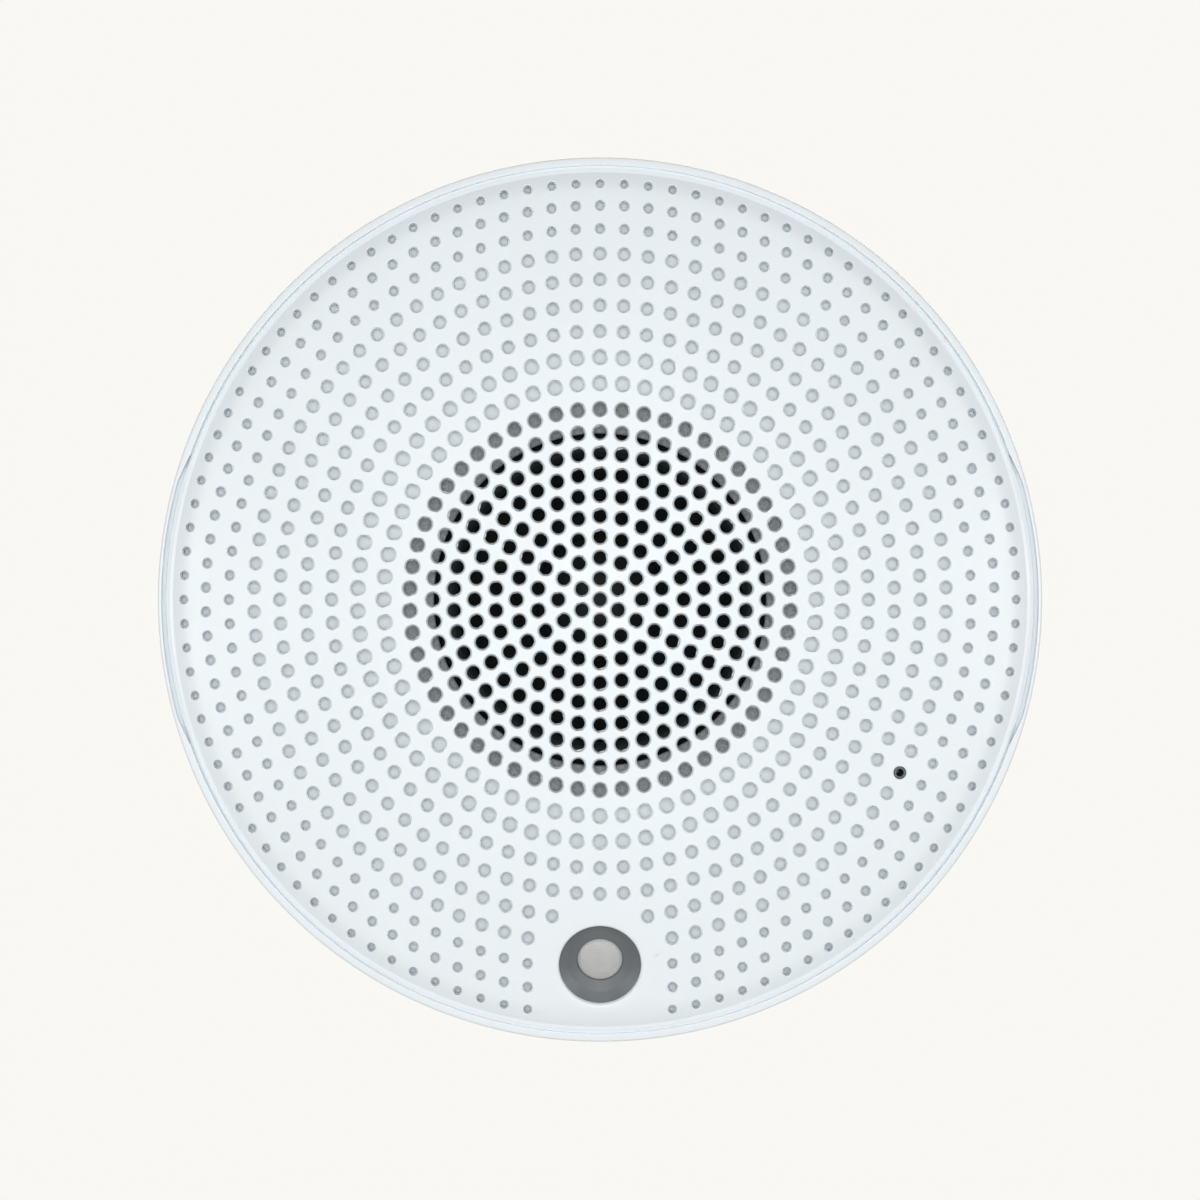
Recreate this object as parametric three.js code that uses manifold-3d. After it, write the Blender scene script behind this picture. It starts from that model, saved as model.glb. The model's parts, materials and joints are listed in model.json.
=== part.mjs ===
// A round wall speaker with a motion sensor and a microphone, as an assembly of separate parts.
//
// Lengths are millimetres and angles are degrees. The parts are laid out in the speaker's own frame:
// x to the right, y up, z out of the wall, with the wall at z = 0. Angles run anticlockwise from +x
// as seen from the front. The last group turns that frame so that the wall lies in the plane y = 0,
// the speaker faces -Y and +Z is up.

import * as THREE from "three";
import { mergeVertices } from "three/addons/utils/BufferGeometryUtils.js";
import Module from "manifold-3d";

// ---------------------------------------------------------------- driving dimensions

const OUTER_RADIUS = 72.5;
const DEPTH = 48;
const WALL_GAP = 1.2; // the housing's back edge stands this far off the wall
const RIM_Z = 35; // the housing's front rim
const ROUND_CUT = 1 - Math.SQRT1_2; // how far in a rounded edge's middle lies, as a share of its radius
const FIT_GAP = 0.3; // between parts that touch
const THIN_GAP = 0.1; // between flat faces that are glued or clamped together

const ROUND = 36; // sides of the large round parts
const SMALL_ROUND = 16; // sides of the driver's round parts
const TINY_ROUND = 8; // sides of screws, bosses and other small round parts

const housing = {
  backRadius: 71.7,
  wall: 2.2,
  innerRadius: 70,
  rebateRadius: 71.4, // the mouth that the cover's skirt drops into
  rebateZ: 30,
  edgeRound: 1,
  plateZ: 14, // the back plate's rear face
  plateThickness: 2,
  ledgeInner: 67.2, // the ledge that carries the baffle
  ledgeZ: 24,
  ledgeTopZ: 26,
  ledgeSlope: 1.5,
  collarInner: 58.4,
  collarOuter: 60.2,
  collarZ: 2.8,
  ribs: 12,
  ribThickness: 1.6,
  ribZ: 4,
};
const plateTopZ = housing.plateZ + housing.plateThickness;

const notch = { halfAngle: 15.7, rampAngle: 19.4, outerRadius: 71.95, depth: 2.6 };

const cover = {
  sphereRadius: 200,
  thickness: 1.9,
  shoulderRadius: 66.5, // the dome turns down towards the rim from here
  rollRadius: 68.5,
  rollZ: 35.78,
  valleyRadius: 69.8,
  valleyZ: 34.7,
  lipRadius: 70.3,
  lipZ: 35.3,
  lipOuter: 70.8,
  creaseZ: 34.8,
  shelfZ: 34.5,
  skirtOuter: 71.1,
  skirtInner: 69.3,
  skirtZ: 30.6,
};
const domeSteps = [0, 30, 46, 58]; // the radii where the dome's facets meet
const grille = { pitch: 3.43, rings: 6, holeRadius: 1.32, sides: 5 };
const snap = { angles: [45, 135, 225, 315], halfAngle: 3, inner: 69.4, outer: 70.9, z: 27.2 };

const baffle = {
  openingRadius: 33.4,
  openingWall: 35.2,
  coverGap: 0.5,
  thickness: 1.8,
  outer: 68.7,
  outerEdgeZ: 32.4,
  wallInner: 67,
  bottomZ: 27.1,
  innerEdgeZ: 37.3,
  motionHole: 8.9,
  micHole: 3,
};
const foam = { inner: 43, outer: 59.5, start: 60, end: 120, z: 24.5, topZ: 33.5 };

const driver = {
  flangeZ: 35.8,
  flangeTopZ: 37,
  flangeInner: 26.6,
  flangeOuter: 34.8,
  earRadius: 38,
  earAngles: [45, 135, 225, 315],
  earSize: 3.4,
  gasketInner: 27.4,
  gasketOuter: 33.1,
  gasketZ: 37.7,
  gasketTopZ: 41.6,
  screwTipZ: 40.9,
  gapInner: 8.5, // the pole's radius
  gapOuter: 9.85, // the top plate's bore
  magnetInner: 12,
  magnetOuter: 21.5,
  plateOuter: 19.5,
  yokeZ: 20.2,
  yokeTopZ: 22.2,
  magnetTopZ: 24.7,
  topPlateTopZ: 26.9,
  bowlBottom: 20.5,
  bowlTop: 28.4,
  throat: 19.5,
  sheet: 1.3, // the basket's sheet thickness
  windowDepth: 12,
  windowWidth: 22,
};
const cone = { neck: 9.6, neckZ: 30.6, rim: 23, rimZ: 37, thickness: 0.6 };
const dustCap = { radius: 10.4, footRise: 1.7, rise: 3.4, thickness: 0.6 };
const coil = { inner: 8.9, former: 9.25, outer: 9.55, z: 24.6, windingTopZ: 27.3 };
const terminalBoard = { x: -31.5, thickness: 1.6, width: 12, z: 29, lugLength: 3, lugWidth: 2.4, lugY: 3.5 };
// Side views of the two flexible rings, as [radius, height above the foot].
const surround = {
  thickness: 0.4,
  line: [[22.6, 0.75], [23.4, 1.1], [24.9, 2.1], [26.4, 1.1], [27.2, 0], [28.8, 0]],
};
const spider = {
  thickness: 0.35,
  footRise: 1.5,
  line: [[9.7, 0.9], [11.5, 0.2], [13.2, 1.1], [14.9, 0.2], [16.6, 1.1], [17.6, 0.1], [19.2, 0.1]],
};

const screw = {
  headRadius: 2.6,
  headHeight: 1.6,
  shankRadius: 1,
  holeRadius: 1.6,
  threadHole: 1.4,
  bossRadius: 3,
};
const socket = { length: 3.1, width: 0.8, depth: 0.8 }; // the driver slot in a screw head
const housingScrew = { radius: 63.8, angles: [45, 135, 225, 315], tipZ: 26 };
const boardScrew = { radius: 54, angles: [20, 160, 200, 340] };

const board = { radius: 59.4, z: 17.4, topZ: 19 };
const label = { y: 46, width: 44, height: 16, corner: 2, thickness: 0.3 };

const jack = { width: 16, frontY: -17, length: 21, z: 3.9, mouthWidth: 11.9, mouthDepth: 13.5 };
const jackMouth = { z: 5.6, topZ: 12.4, keyWidth: 6.2, keyTopZ: 14.2 };
const windowGap = 0.6; // around the socket and the terminals where they pass the back plate
const terminal = { x: 20, y: -27, width: 15.2, depth: 9, z: 6.4, poles: 4 };
const button = { x: -20, y: -27, radius: 2.5, z: 9.9, flangeRadius: 3.5, bossRadius: 5.6, bossZ: 10.4 };
const pocket = { half: 3.9, z: 12.4 }; // the square space behind the button
const buttonSwitch = { size: 6, z: 14.3, plungerRadius: 1.6, plungerZ: 13.7 };
const lightPipe = { x: -30, y: -27, radius: 1.5, z: 12.6 };
const transformer = { x: -47, y: 4, width: 18, depth: 16, coreWidth: 15, coreDepth: 12, flange: 3, height: 11.5 };
const capacitor = { places: [[45, 12], [46, 1]], radius: 4, height: 11, crimp: 0.6 };

// Heights inside the sensors are measured outwards from the dome's surface along each sensor's axis.
const motion = {
  y: -59.7,
  tilt: 25,
  openingRadius: 6.9,
  front: -3.4,
  bezelOuter: 7.7,
  bezelMouth: 7.1,
  bezelThroat: 4.6,
  bezelInner: 5.2,
  bezelBack: -9.6,
  canRadius: 4.1,
  canFlange: 4.6,
  canTop: -7.4,
  canBase: -11,
  boardSize: 14,
  boardTop: -11.1,
  boardBack: -12.4,
};
const flex = { width: 8, thickness: 0.35 };
const mic = {
  radius: 56.6,
  angle: -30,
  holeRadius: 0.65,
  ringRadius: 0.95,
  front: -2.3,
  bootRadius: 2.7,
  bootInner: 2.3,
  bootBore: 1,
  bootFront: 1.6,
  bootDepth: 4.4,
  capsuleRadius: 2,
  capsuleDepth: 3.6,
  boardSize: 8,
  boardDepth: 5.6,
};
const wireRadius = 0.65;

const bracket = {
  radius: 56,
  thickness: 2.2,
  wallInner: 49.5,
  wallOuter: 51.5,
  tongueOuter: 56,
  tongueZ: 5.6,
  tongueTopZ: 7.2,
  halfAngle: 10,
  stopAngle: 1.8,
  angles: [90, 210, 330],
};
const lug = { inner: 52.3, z: 3.2, topZ: 5.2, halfAngle: 9 };
const cableOpening = { y: 27, width: 28, height: 24, corner: 5, rimWidth: 1.8, rimZ: 3.4 };
const slot = { x: 35, y: 20, length: 12.4, width: 5.6 };
const arrow = { y: 41.5, halfWidth: 4, length: 5.5, height: 0.6 };

const REACH = 6; // how far a cutting shape stands out past what it cuts
const SINK = 1; // how deep an added shape starts inside what it joins

// ---------------------------------------------------------------- booleans

const wasm = await Module();
wasm.setup();

function solidOf(geometry) {
  const bare = new THREE.BufferGeometry().setAttribute("position", geometry.getAttribute("position"));
  bare.setIndex(geometry.index);
  const merged = mergeVertices(bare, 1e-4);
  const index = merged.index ?? { array: [...Array(merged.attributes.position.count).keys()] };
  return new wasm.Manifold(
    new wasm.Mesh({
      numProp: 3,
      vertProperties: merged.attributes.position.array,
      triVerts: new Uint32Array(index.array),
    }),
  );
}

function geometryOf(solid) {
  const mesh = solid.getMesh();
  const geometry = new THREE.BufferGeometry();
  geometry.setAttribute("position", new THREE.BufferAttribute(mesh.vertProperties, 3));
  geometry.setIndex(new THREE.BufferAttribute(mesh.triVerts, 1));
  return geometry;
}

const union = (geometries) => geometries.map(solidOf).reduce((all, next) => all.add(next));

const join = (...geometries) => geometryOf(union(geometries));

const cut = (body, ...tools) => geometryOf(solidOf(body).subtract(union(tools)));

// ---------------------------------------------------------------- shapes

const radians = THREE.MathUtils.degToRad;

const polar = (radius, angle) =>
  new THREE.Vector2(radius * Math.cos(radians(angle)), radius * Math.sin(radians(angle)));

const circle = (radius, sides) => Array.from({ length: sides }, (_, i) => polar(radius, (360 * i) / sides));

// A closed profile of [radius, z] points turned about the z axis. A profile that starts and ends on
// the axis is solid in the middle; any other one is closed into a ring.
function turned(profile, sides) {
  const points = profile.map(([r, z]) => new THREE.Vector2(r, z));
  if (THREE.ShapeUtils.area(points) < 0) points.reverse();
  const touchesAxis = points[0].x === 0 && points.at(-1).x === 0;
  if (!touchesAxis) points.push(points[0].clone());
  return new THREE.LatheGeometry(points, sides).rotateX(Math.PI / 2);
}

const ring = (inner, outer, z0, z1, sides) =>
  turned([[inner, z0], [outer, z0], [outer, z1], [inner, z1]], sides);

const disc = (radius, z0, z1, sides) =>
  turned([[0, z0], [radius, z0], [radius, z1], [0, z1]], sides);

const extruded = (points, z0, z1) =>
  new THREE.ExtrudeGeometry(new THREE.Shape(points), { depth: z1 - z0, bevelEnabled: false }).translate(0, 0, z0);

const box = (width, height, z0, z1) =>
  new THREE.BoxGeometry(width, height, z1 - z0).translate(0, 0, (z0 + z1) / 2);

function roundedBox(width, height, corner, z0, z1) {
  const quarter = (cx, cy, start) =>
    [0, 30, 60, 90].map((step) => polar(corner, start + step).add(new THREE.Vector2(cx, cy)));
  const cx = width / 2 - corner;
  const cy = height / 2 - corner;
  const outline = [
    ...quarter(cx, cy, 0),
    ...quarter(-cx, cy, 90),
    ...quarter(-cx, -cy, 180),
    ...quarter(cx, -cy, 270),
  ];
  return extruded(outline, z0, z1);
}

// An arc-shaped block between two radii and two angles.
function sector(inner, outer, start, end, z0, z1) {
  const steps = Math.max(2, Math.ceil((end - start) / 8));
  const at = (radius) => Array.from({ length: steps + 1 }, (_, i) => polar(radius, start + ((end - start) * i) / steps));
  return extruded([...at(outer), ...at(inner).reverse()], z0, z1);
}

const atPolar = (geometry, radius, angle) => {
  const { x, y } = polar(radius, angle);
  return geometry.translate(x, y, 0);
};

// A pan-head screw along z: the head lies between headZ and headZ + direction * headHeight, and the
// shank runs from there to tipZ.
function panScrew(headZ, tipZ) {
  const direction = Math.sign(tipZ - headZ);
  const seatZ = headZ + direction * screw.headHeight;
  const head = turned(
    [
      [0, headZ],
      [screw.headRadius * 0.75, headZ],
      [screw.headRadius, headZ + direction * 0.5],
      [screw.headRadius, seatZ],
      [screw.shankRadius, seatZ],
      [screw.shankRadius, tipZ - direction * 0.6],
      [0, tipZ],
    ],
    TINY_ROUND,
  );
  const ends = [headZ - direction, headZ + direction * socket.depth];
  return cut(head, box(socket.length, socket.width, Math.min(...ends), Math.max(...ends)));
}

// ---------------------------------------------------------------- materials and parts

const finishes = {
  shell: { color: 0xf6f8f9, roughness: 0.42, metalness: 0 },
  whiteInner: { color: 0xe9ecec, roughness: 0.55, metalness: 0 },
  steel: { color: 0xa9adb0, roughness: 0.35, metalness: 1 },
  darkSteel: { color: 0x3a3d40, roughness: 0.5, metalness: 0.9 },
  ferrite: { color: 0x2b2c2e, roughness: 0.7, metalness: 0 },
  foam: { color: 0x7b7f80, roughness: 0.95, metalness: 0 },
  darkFoam: { color: 0x2e3032, roughness: 1, metalness: 0 },
  rubber: { color: 0x1a1c1d, roughness: 0.8, metalness: 0 },
  paper: { color: 0x101416, roughness: 0.75, metalness: 0 },
  cap: { color: 0x25292a, roughness: 0.6, metalness: 0 },
  copper: { color: 0xb5683c, roughness: 0.4, metalness: 1 },
  circuit: { color: 0x14532f, roughness: 0.5, metalness: 0 },
  blackPlastic: { color: 0x1c1d1f, roughness: 0.5, metalness: 0 },
  greyPlastic: { color: 0x6c7173, roughness: 0.5, metalness: 0 },
  lens: { color: 0xdfe2e2, roughness: 0.45, metalness: 0 },
  clear: { color: 0xdfeaf0, roughness: 0.1, metalness: 0 },
  red: { color: 0xa51d1d, roughness: 0.5, metalness: 0 },
  amber: { color: 0xb06a1e, roughness: 0.5, metalness: 0 },
  label: { color: 0xdcdedf, roughness: 0.4, metalness: 0 },
};

function part(name, geometry, finish) {
  const mesh = new THREE.Mesh(geometry, new THREE.MeshStandardMaterial(finishes[finish]));
  mesh.name = name;
  return mesh;
}

// ---------------------------------------------------------------- the dome

const domeZ = (radius) => DEPTH - cover.sphereRadius + Math.sqrt(cover.sphereRadius ** 2 - radius ** 2);

const domePoints = (radii, drop) => radii.map((radius) => [radius, domeZ(radius) - drop]);

const domeTilt = (radius) => THREE.MathUtils.radToDeg(Math.asin(radius / cover.sphereRadius));

// Places a geometry that stands along z at z = 0 so that it stands on the dome's outside at a polar
// place, leaning by tilt away from the centre.
function onDome(geometry, radius, angle, tilt) {
  const { x, y } = polar(radius, angle);
  return geometry
    .rotateY(radians(tilt))
    .rotateZ(radians(angle))
    .translate(x, y, domeZ(radius));
}

const atMotion = (geometry) => onDome(geometry, -motion.y, -90, motion.tilt);
const atMic = (geometry) => onDome(geometry, mic.radius, mic.angle, domeTilt(mic.radius));

// ---------------------------------------------------------------- wall bracket

function bayonetHook(angle) {
  const start = angle - bracket.halfAngle;
  const end = angle + bracket.halfAngle;
  const below = bracket.thickness - SINK;
  return [
    sector(bracket.wallInner, bracket.wallOuter + 0.2, start, end, below, bracket.tongueTopZ),
    sector(bracket.wallOuter, bracket.tongueOuter, start, end, bracket.tongueZ, bracket.tongueTopZ),
    sector(bracket.wallOuter, bracket.tongueOuter, start - bracket.stopAngle, start, below, bracket.tongueTopZ),
  ];
}

function screwSlot(x, y) {
  const corner = slot.width / 2 - 0.01;
  return roundedBox(slot.length, slot.width, corner, -REACH, REACH).translate(x, y, 0);
}

function upArrow() {
  const outline = [
    new THREE.Vector2(-arrow.halfWidth, arrow.y),
    new THREE.Vector2(arrow.halfWidth, arrow.y),
    new THREE.Vector2(0, arrow.y + arrow.length),
  ];
  return extruded(outline, bracket.thickness - SINK, bracket.thickness + arrow.height);
}

function wallBracket() {
  const opening = roundedBox(cableOpening.width, cableOpening.height, cableOpening.corner, -REACH, REACH);
  const rim = roundedBox(
    cableOpening.width + 2 * cableOpening.rimWidth,
    cableOpening.height + 2 * cableOpening.rimWidth,
    cableOpening.corner + cableOpening.rimWidth,
    bracket.thickness - SINK,
    cableOpening.rimZ,
  );
  const body = join(
    disc(bracket.radius, 0, bracket.thickness, ROUND),
    rim.translate(0, cableOpening.y, 0),
    upArrow(),
    ...bracket.angles.flatMap(bayonetHook),
  );
  const slots = [-1, 1].flatMap((sx) => [-1, 1].map((sy) => screwSlot(sx * slot.x, sy * slot.y)));
  return part("wall_bracket", cut(body, opening.translate(0, cableOpening.y, 0), ...slots), "whiteInner");
}

// ---------------------------------------------------------------- base housing

function housingTub() {
  const h = housing;
  const edge = h.edgeRound;
  const profile = [
    [0, h.plateZ],
    [h.collarInner, h.plateZ],
    [h.collarInner, h.collarZ],
    [h.collarOuter, h.collarZ],
    [h.collarOuter, h.plateZ],
    [h.backRadius - h.wall, h.plateZ],
    [h.backRadius - h.wall, WALL_GAP],
    [h.backRadius, WALL_GAP],
    [OUTER_RADIUS, RIM_Z - edge],
    [OUTER_RADIUS - edge * ROUND_CUT, RIM_Z - edge * ROUND_CUT],
    [OUTER_RADIUS - edge, RIM_Z],
    [h.rebateRadius, RIM_Z],
    [h.rebateRadius, h.rebateZ],
    [h.innerRadius, h.rebateZ],
    [h.innerRadius, h.ledgeTopZ],
    [h.ledgeInner, h.ledgeTopZ],
    [h.ledgeInner, h.ledgeZ],
    [h.innerRadius, h.ledgeZ - h.ledgeSlope],
    [h.innerRadius, plateTopZ],
    [0, plateTopZ],
  ];
  return turned(profile, ROUND);
}

function pryNotch(angle) {
  const n = notch;
  const inside = housing.rebateRadius - SINK;
  const outline = [
    polar(inside, angle - n.rampAngle),
    polar(housing.rebateRadius, angle - n.rampAngle),
    ...[-1, -0.5, 0, 0.5, 1].map((step) => polar(n.outerRadius, angle + step * n.halfAngle)),
    polar(housing.rebateRadius, angle + n.rampAngle),
    polar(inside, angle + n.rampAngle),
    polar(inside - SINK, angle),
  ];
  return extruded(outline, RIM_Z - n.depth, RIM_Z + REACH);
}

function rib(index) {
  const start = housing.collarOuter - SINK / 2;
  const length = housing.backRadius - housing.wall + SINK / 2 - start;
  return box(length, housing.ribThickness, housing.ribZ, housing.plateZ + SINK)
    .translate(start + length / 2, 0, 0)
    .rotateZ((2 * Math.PI * index) / housing.ribs);
}

function housingAdditions() {
  const l = lug;
  const boardBosses = boardScrew.angles.map((angle) =>
    atPolar(disc(screw.bossRadius, housing.plateZ + SINK, board.z - FIT_GAP, TINY_ROUND), boardScrew.radius, angle),
  );
  const lugs = bracket.angles.map((angle) =>
    sector(l.inner, housing.collarInner + SINK, angle - l.halfAngle, angle + l.halfAngle, l.z, l.topZ),
  );
  const ribs = Array.from({ length: housing.ribs }, (_, i) => rib(i));
  const buttonBoss = disc(button.bossRadius, button.bossZ, housing.plateZ + SINK, SMALL_ROUND);
  return [...boardBosses, ...lugs, ...ribs, buttonBoss.translate(button.x, button.y, 0)];
}

function housingCuts() {
  const h = housing;
  const through = [h.plateZ - REACH, plateTopZ + REACH];
  const boardHoles = boardScrew.angles.map((angle) =>
    atPolar(disc(screw.threadHole, h.plateZ + FIT_GAP, board.z + REACH, TINY_ROUND), boardScrew.radius, angle),
  );
  const screwHoles = housingScrew.angles.map((angle) =>
    atPolar(disc(screw.holeRadius, ...through, TINY_ROUND), housingScrew.radius, angle),
  );
  const legSpace = snap.halfAngle + 1;
  const snapPockets = snap.angles.map((angle) => {
    const outer = snap.outer + FIT_GAP;
    return sector(h.innerRadius - SINK, outer, angle - legSpace, angle + legSpace, snap.z - 2 * FIT_GAP, h.rebateZ + SINK);
  });
  const jackWindow = box(jack.width + 2 * windowGap, jack.length + 2 * windowGap, ...through);
  const terminalWindow = box(terminal.width + 2 * windowGap, terminal.depth + 2 * windowGap, ...through);
  const buttonBore = disc(button.radius + 0.4, button.bossZ - REACH, plateTopZ, SMALL_ROUND);
  const buttonPocket = box(2 * pocket.half, 2 * pocket.half, pocket.z, plateTopZ + REACH);
  const lightBore = disc(lightPipe.radius + 0.4, ...through, TINY_ROUND);
  return [
    ...boardHoles,
    ...screwHoles,
    ...snapPockets,
    pryNotch(0),
    pryNotch(180),
    jackWindow.translate(0, jack.frontY - jack.length / 2, 0),
    terminalWindow.translate(terminal.x, terminal.y, 0),
    buttonBore.translate(button.x, button.y, 0),
    buttonPocket.translate(button.x, button.y, 0),
    lightBore.translate(lightPipe.x, lightPipe.y, 0),
  ];
}

function baseHousing() {
  return part("base_housing", cut(join(housingTub(), ...housingAdditions()), ...housingCuts()), "shell");
}

function backLabel() {
  const topZ = housing.plateZ - THIN_GAP;
  const geometry = roundedBox(label.width, label.height, label.corner, topZ - label.thickness, topZ);
  return part("back_label", geometry.translate(0, label.y, 0), "label");
}

function housingScrews() {
  return housingScrew.angles.map((angle, i) => {
    const headZ = housing.plateZ - FIT_GAP - screw.headHeight;
    return part(
      `housing_screw_${i + 1}`,
      atPolar(panScrew(headZ, housingScrew.tipZ), housingScrew.radius, angle),
      "steel",
    );
  });
}

// ---------------------------------------------------------------- front cover

function coverDome() {
  const c = cover;
  const radii = [...domeSteps, c.shoulderRadius];
  const edge = [
    [c.rollRadius, c.rollZ],
    [c.valleyRadius, c.valleyZ],
    [c.lipRadius, c.lipZ],
    [c.lipOuter, c.creaseZ],
    [c.lipOuter, c.shelfZ],
    [c.skirtOuter, c.shelfZ],
    [c.skirtOuter, c.skirtZ],
    [c.skirtInner, c.skirtZ],
    [c.skirtInner, c.valleyZ - c.thickness],
  ];
  return turned([...domePoints(radii, 0), ...edge, ...domePoints(radii, c.thickness).reverse()], ROUND);
}

// The middle rings of the sound holes: ring k has 6 k holes, and each ring has one straight up.
function soundHoles() {
  const holes = [];
  for (let k = 0; k <= grille.rings; k += 1) {
    const count = Math.max(1, 6 * k);
    for (let j = 0; j < count; j += 1) {
      const radius = k * grille.pitch;
      const topZ = domeZ(radius);
      const hole = extruded(circle(grille.holeRadius, grille.sides), topZ - REACH, topZ + REACH);
      holes.push(atPolar(hole, radius, 90 + (360 * j) / count));
    }
  }
  return holes;
}

function frontCover() {
  const legs = snap.angles.map((angle) =>
    sector(snap.inner, snap.outer, angle - snap.halfAngle, angle + snap.halfAngle, snap.z, cover.skirtZ + SINK),
  );
  const motionOpening = atMotion(disc(motion.openingRadius, -REACH, REACH, SMALL_ROUND));
  const micOpening = atMic(disc(mic.ringRadius + 0.15, -REACH, REACH, TINY_ROUND));
  const body = cut(join(coverDome(), ...legs), motionOpening, micOpening, ...soundHoles());
  return part("front_cover", body, "shell");
}

function micPortRing() {
  const geometry = atMic(ring(mic.holeRadius, mic.ringRadius, -cover.thickness, -THIN_GAP, TINY_ROUND));
  return part("mic_port_ring", geometry, "greyPlastic");
}

// ---------------------------------------------------------------- front baffle

function baffleShell() {
  const b = baffle;
  const drop = cover.thickness + b.coverGap;
  const radii = [b.openingWall, 48, 60, 66];
  const front = domePoints(radii, drop);
  const back = domePoints(radii, drop + b.thickness).reverse();
  const profile = [
    [b.openingRadius, b.innerEdgeZ],
    [b.openingRadius, domeZ(b.openingRadius) - drop],
    ...front,
    [b.outer, b.outerEdgeZ],
    [b.outer, b.bottomZ],
    [b.wallInner, b.bottomZ],
    [b.wallInner, b.outerEdgeZ - b.thickness],
    ...back,
    [b.openingWall, b.innerEdgeZ],
  ];
  return turned(profile, ROUND);
}

function frontBaffle() {
  const bossTopZ = domeZ(housingScrew.radius) - cover.thickness - baffle.coverGap - SINK;
  const earBossTopZ = domeZ(driver.earRadius) - cover.thickness - baffle.coverGap - SINK;
  const housingBosses = housingScrew.angles.map((angle) =>
    atPolar(disc(screw.bossRadius, plateTopZ + FIT_GAP, bossTopZ, TINY_ROUND), housingScrew.radius, angle),
  );
  const earBosses = driver.earAngles.map((angle) =>
    atPolar(disc(screw.bossRadius, baffle.innerEdgeZ, earBossTopZ, TINY_ROUND), driver.earRadius, angle),
  );
  const housingHoles = housingScrew.angles.map((angle) =>
    atPolar(disc(screw.threadHole, 0, housingScrew.tipZ + SINK, TINY_ROUND), housingScrew.radius, angle),
  );
  const earHoles = driver.earAngles.map((angle) =>
    atPolar(disc(screw.threadHole, 0, driver.screwTipZ + FIT_GAP, TINY_ROUND), driver.earRadius, angle),
  );
  const body = join(baffleShell(), ...housingBosses, ...earBosses);
  const motionHole = atMotion(disc(baffle.motionHole, -3 * REACH, REACH, SMALL_ROUND));
  const micHole = atMic(disc(baffle.micHole, -2 * REACH, REACH, TINY_ROUND));
  return part("front_baffle", cut(body, ...housingHoles, ...earHoles, motionHole, micHole), "whiteInner");
}

function baffleSeal() {
  const { ledgeTopZ } = housing;
  const outer = housing.innerRadius - 2 * FIT_GAP;
  const geometry = ring(outer - 2, outer, ledgeTopZ + THIN_GAP, baffle.bottomZ - THIN_GAP, ROUND);
  return part("baffle_seal", geometry, "rubber");
}

function dampingFoam() {
  return part("damping_foam", sector(foam.inner, foam.outer, foam.start, foam.end, foam.z, foam.topZ), "darkFoam");
}

// ---------------------------------------------------------------- loudspeaker driver

function driverBasket() {
  const d = driver;
  const bowl = turned(
    [
      [d.magnetInner, d.topPlateTopZ + THIN_GAP],
      [d.bowlBottom, d.topPlateTopZ + THIN_GAP],
      [d.bowlTop, d.flangeZ],
      [d.flangeOuter, d.flangeZ],
      [d.flangeOuter, d.flangeTopZ],
      [d.flangeInner, d.flangeTopZ],
      [d.throat, d.topPlateTopZ + d.sheet],
      [d.magnetInner, d.topPlateTopZ + d.sheet],
    ],
    SMALL_ROUND,
  );
  const ears = d.earAngles.map((angle) =>
    atPolar(disc(d.earSize, d.flangeZ, d.flangeTopZ, TINY_ROUND), d.earRadius, angle),
  );
  const arms = d.earAngles.map((angle) =>
    box(8, 2 * d.earSize, d.flangeZ, d.flangeTopZ).translate(d.earRadius - d.earSize, 0, 0).rotateZ(radians(angle)),
  );
  const windows = [0, 90, 180, 270].map((angle) =>
    box(d.windowDepth, d.windowWidth, d.topPlateTopZ + 2 * d.sheet, d.flangeZ - SINK)
      .translate((d.throat + d.bowlTop) / 2, 0, 0)
      .rotateZ(radians(angle)),
  );
  const earHoles = d.earAngles.map((angle) =>
    atPolar(disc(screw.holeRadius, d.flangeZ - REACH, d.flangeTopZ + REACH, TINY_ROUND), d.earRadius, angle),
  );
  return part("driver_basket", cut(join(bowl, ...ears, ...arms), ...windows, ...earHoles), "darkSteel");
}

function driverMotor() {
  const d = driver;
  const yoke = turned(
    [
      [0, d.yokeZ],
      [d.plateOuter, d.yokeZ],
      [d.plateOuter, d.yokeTopZ],
      [d.gapInner, d.yokeTopZ],
      [d.gapInner, d.topPlateTopZ],
      [0, d.topPlateTopZ],
    ],
    SMALL_ROUND,
  );
  const magnet = ring(d.magnetInner, d.magnetOuter, d.yokeTopZ + THIN_GAP, d.magnetTopZ, SMALL_ROUND);
  const topPlate = ring(d.gapOuter, d.plateOuter, d.magnetTopZ + THIN_GAP, d.topPlateTopZ, SMALL_ROUND);
  return [
    part("driver_yoke", yoke, "steel"),
    part("driver_magnet", magnet, "ferrite"),
    part("driver_top_plate", topPlate, "steel"),
  ];
}

function driverGasket() {
  const d = driver;
  const geometry = ring(d.gasketInner, d.gasketOuter, d.gasketZ, d.gasketTopZ, SMALL_ROUND);
  return part("driver_gasket", geometry, "foam");
}

function driverTerminal() {
  const t = terminalBoard;
  const plate = box(t.thickness, t.width, t.z, driver.flangeZ - FIT_GAP);
  const lugs = [-t.lugY, t.lugY].map((y) =>
    box(t.lugLength, t.lugWidth, t.z + 0.6, t.z + 1.4).translate(-t.thickness, y, 0),
  );
  return part("driver_terminal", join(plate, ...lugs).translate(t.x, 0, 0), "amber");
}

function driverScrews() {
  const headZ = driver.flangeZ - FIT_GAP - screw.headHeight;
  return driver.earAngles.map((angle, i) =>
    part(`driver_screw_${i + 1}`, atPolar(panScrew(headZ, driver.screwTipZ), driver.earRadius, angle), "steel"),
  );
}

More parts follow.
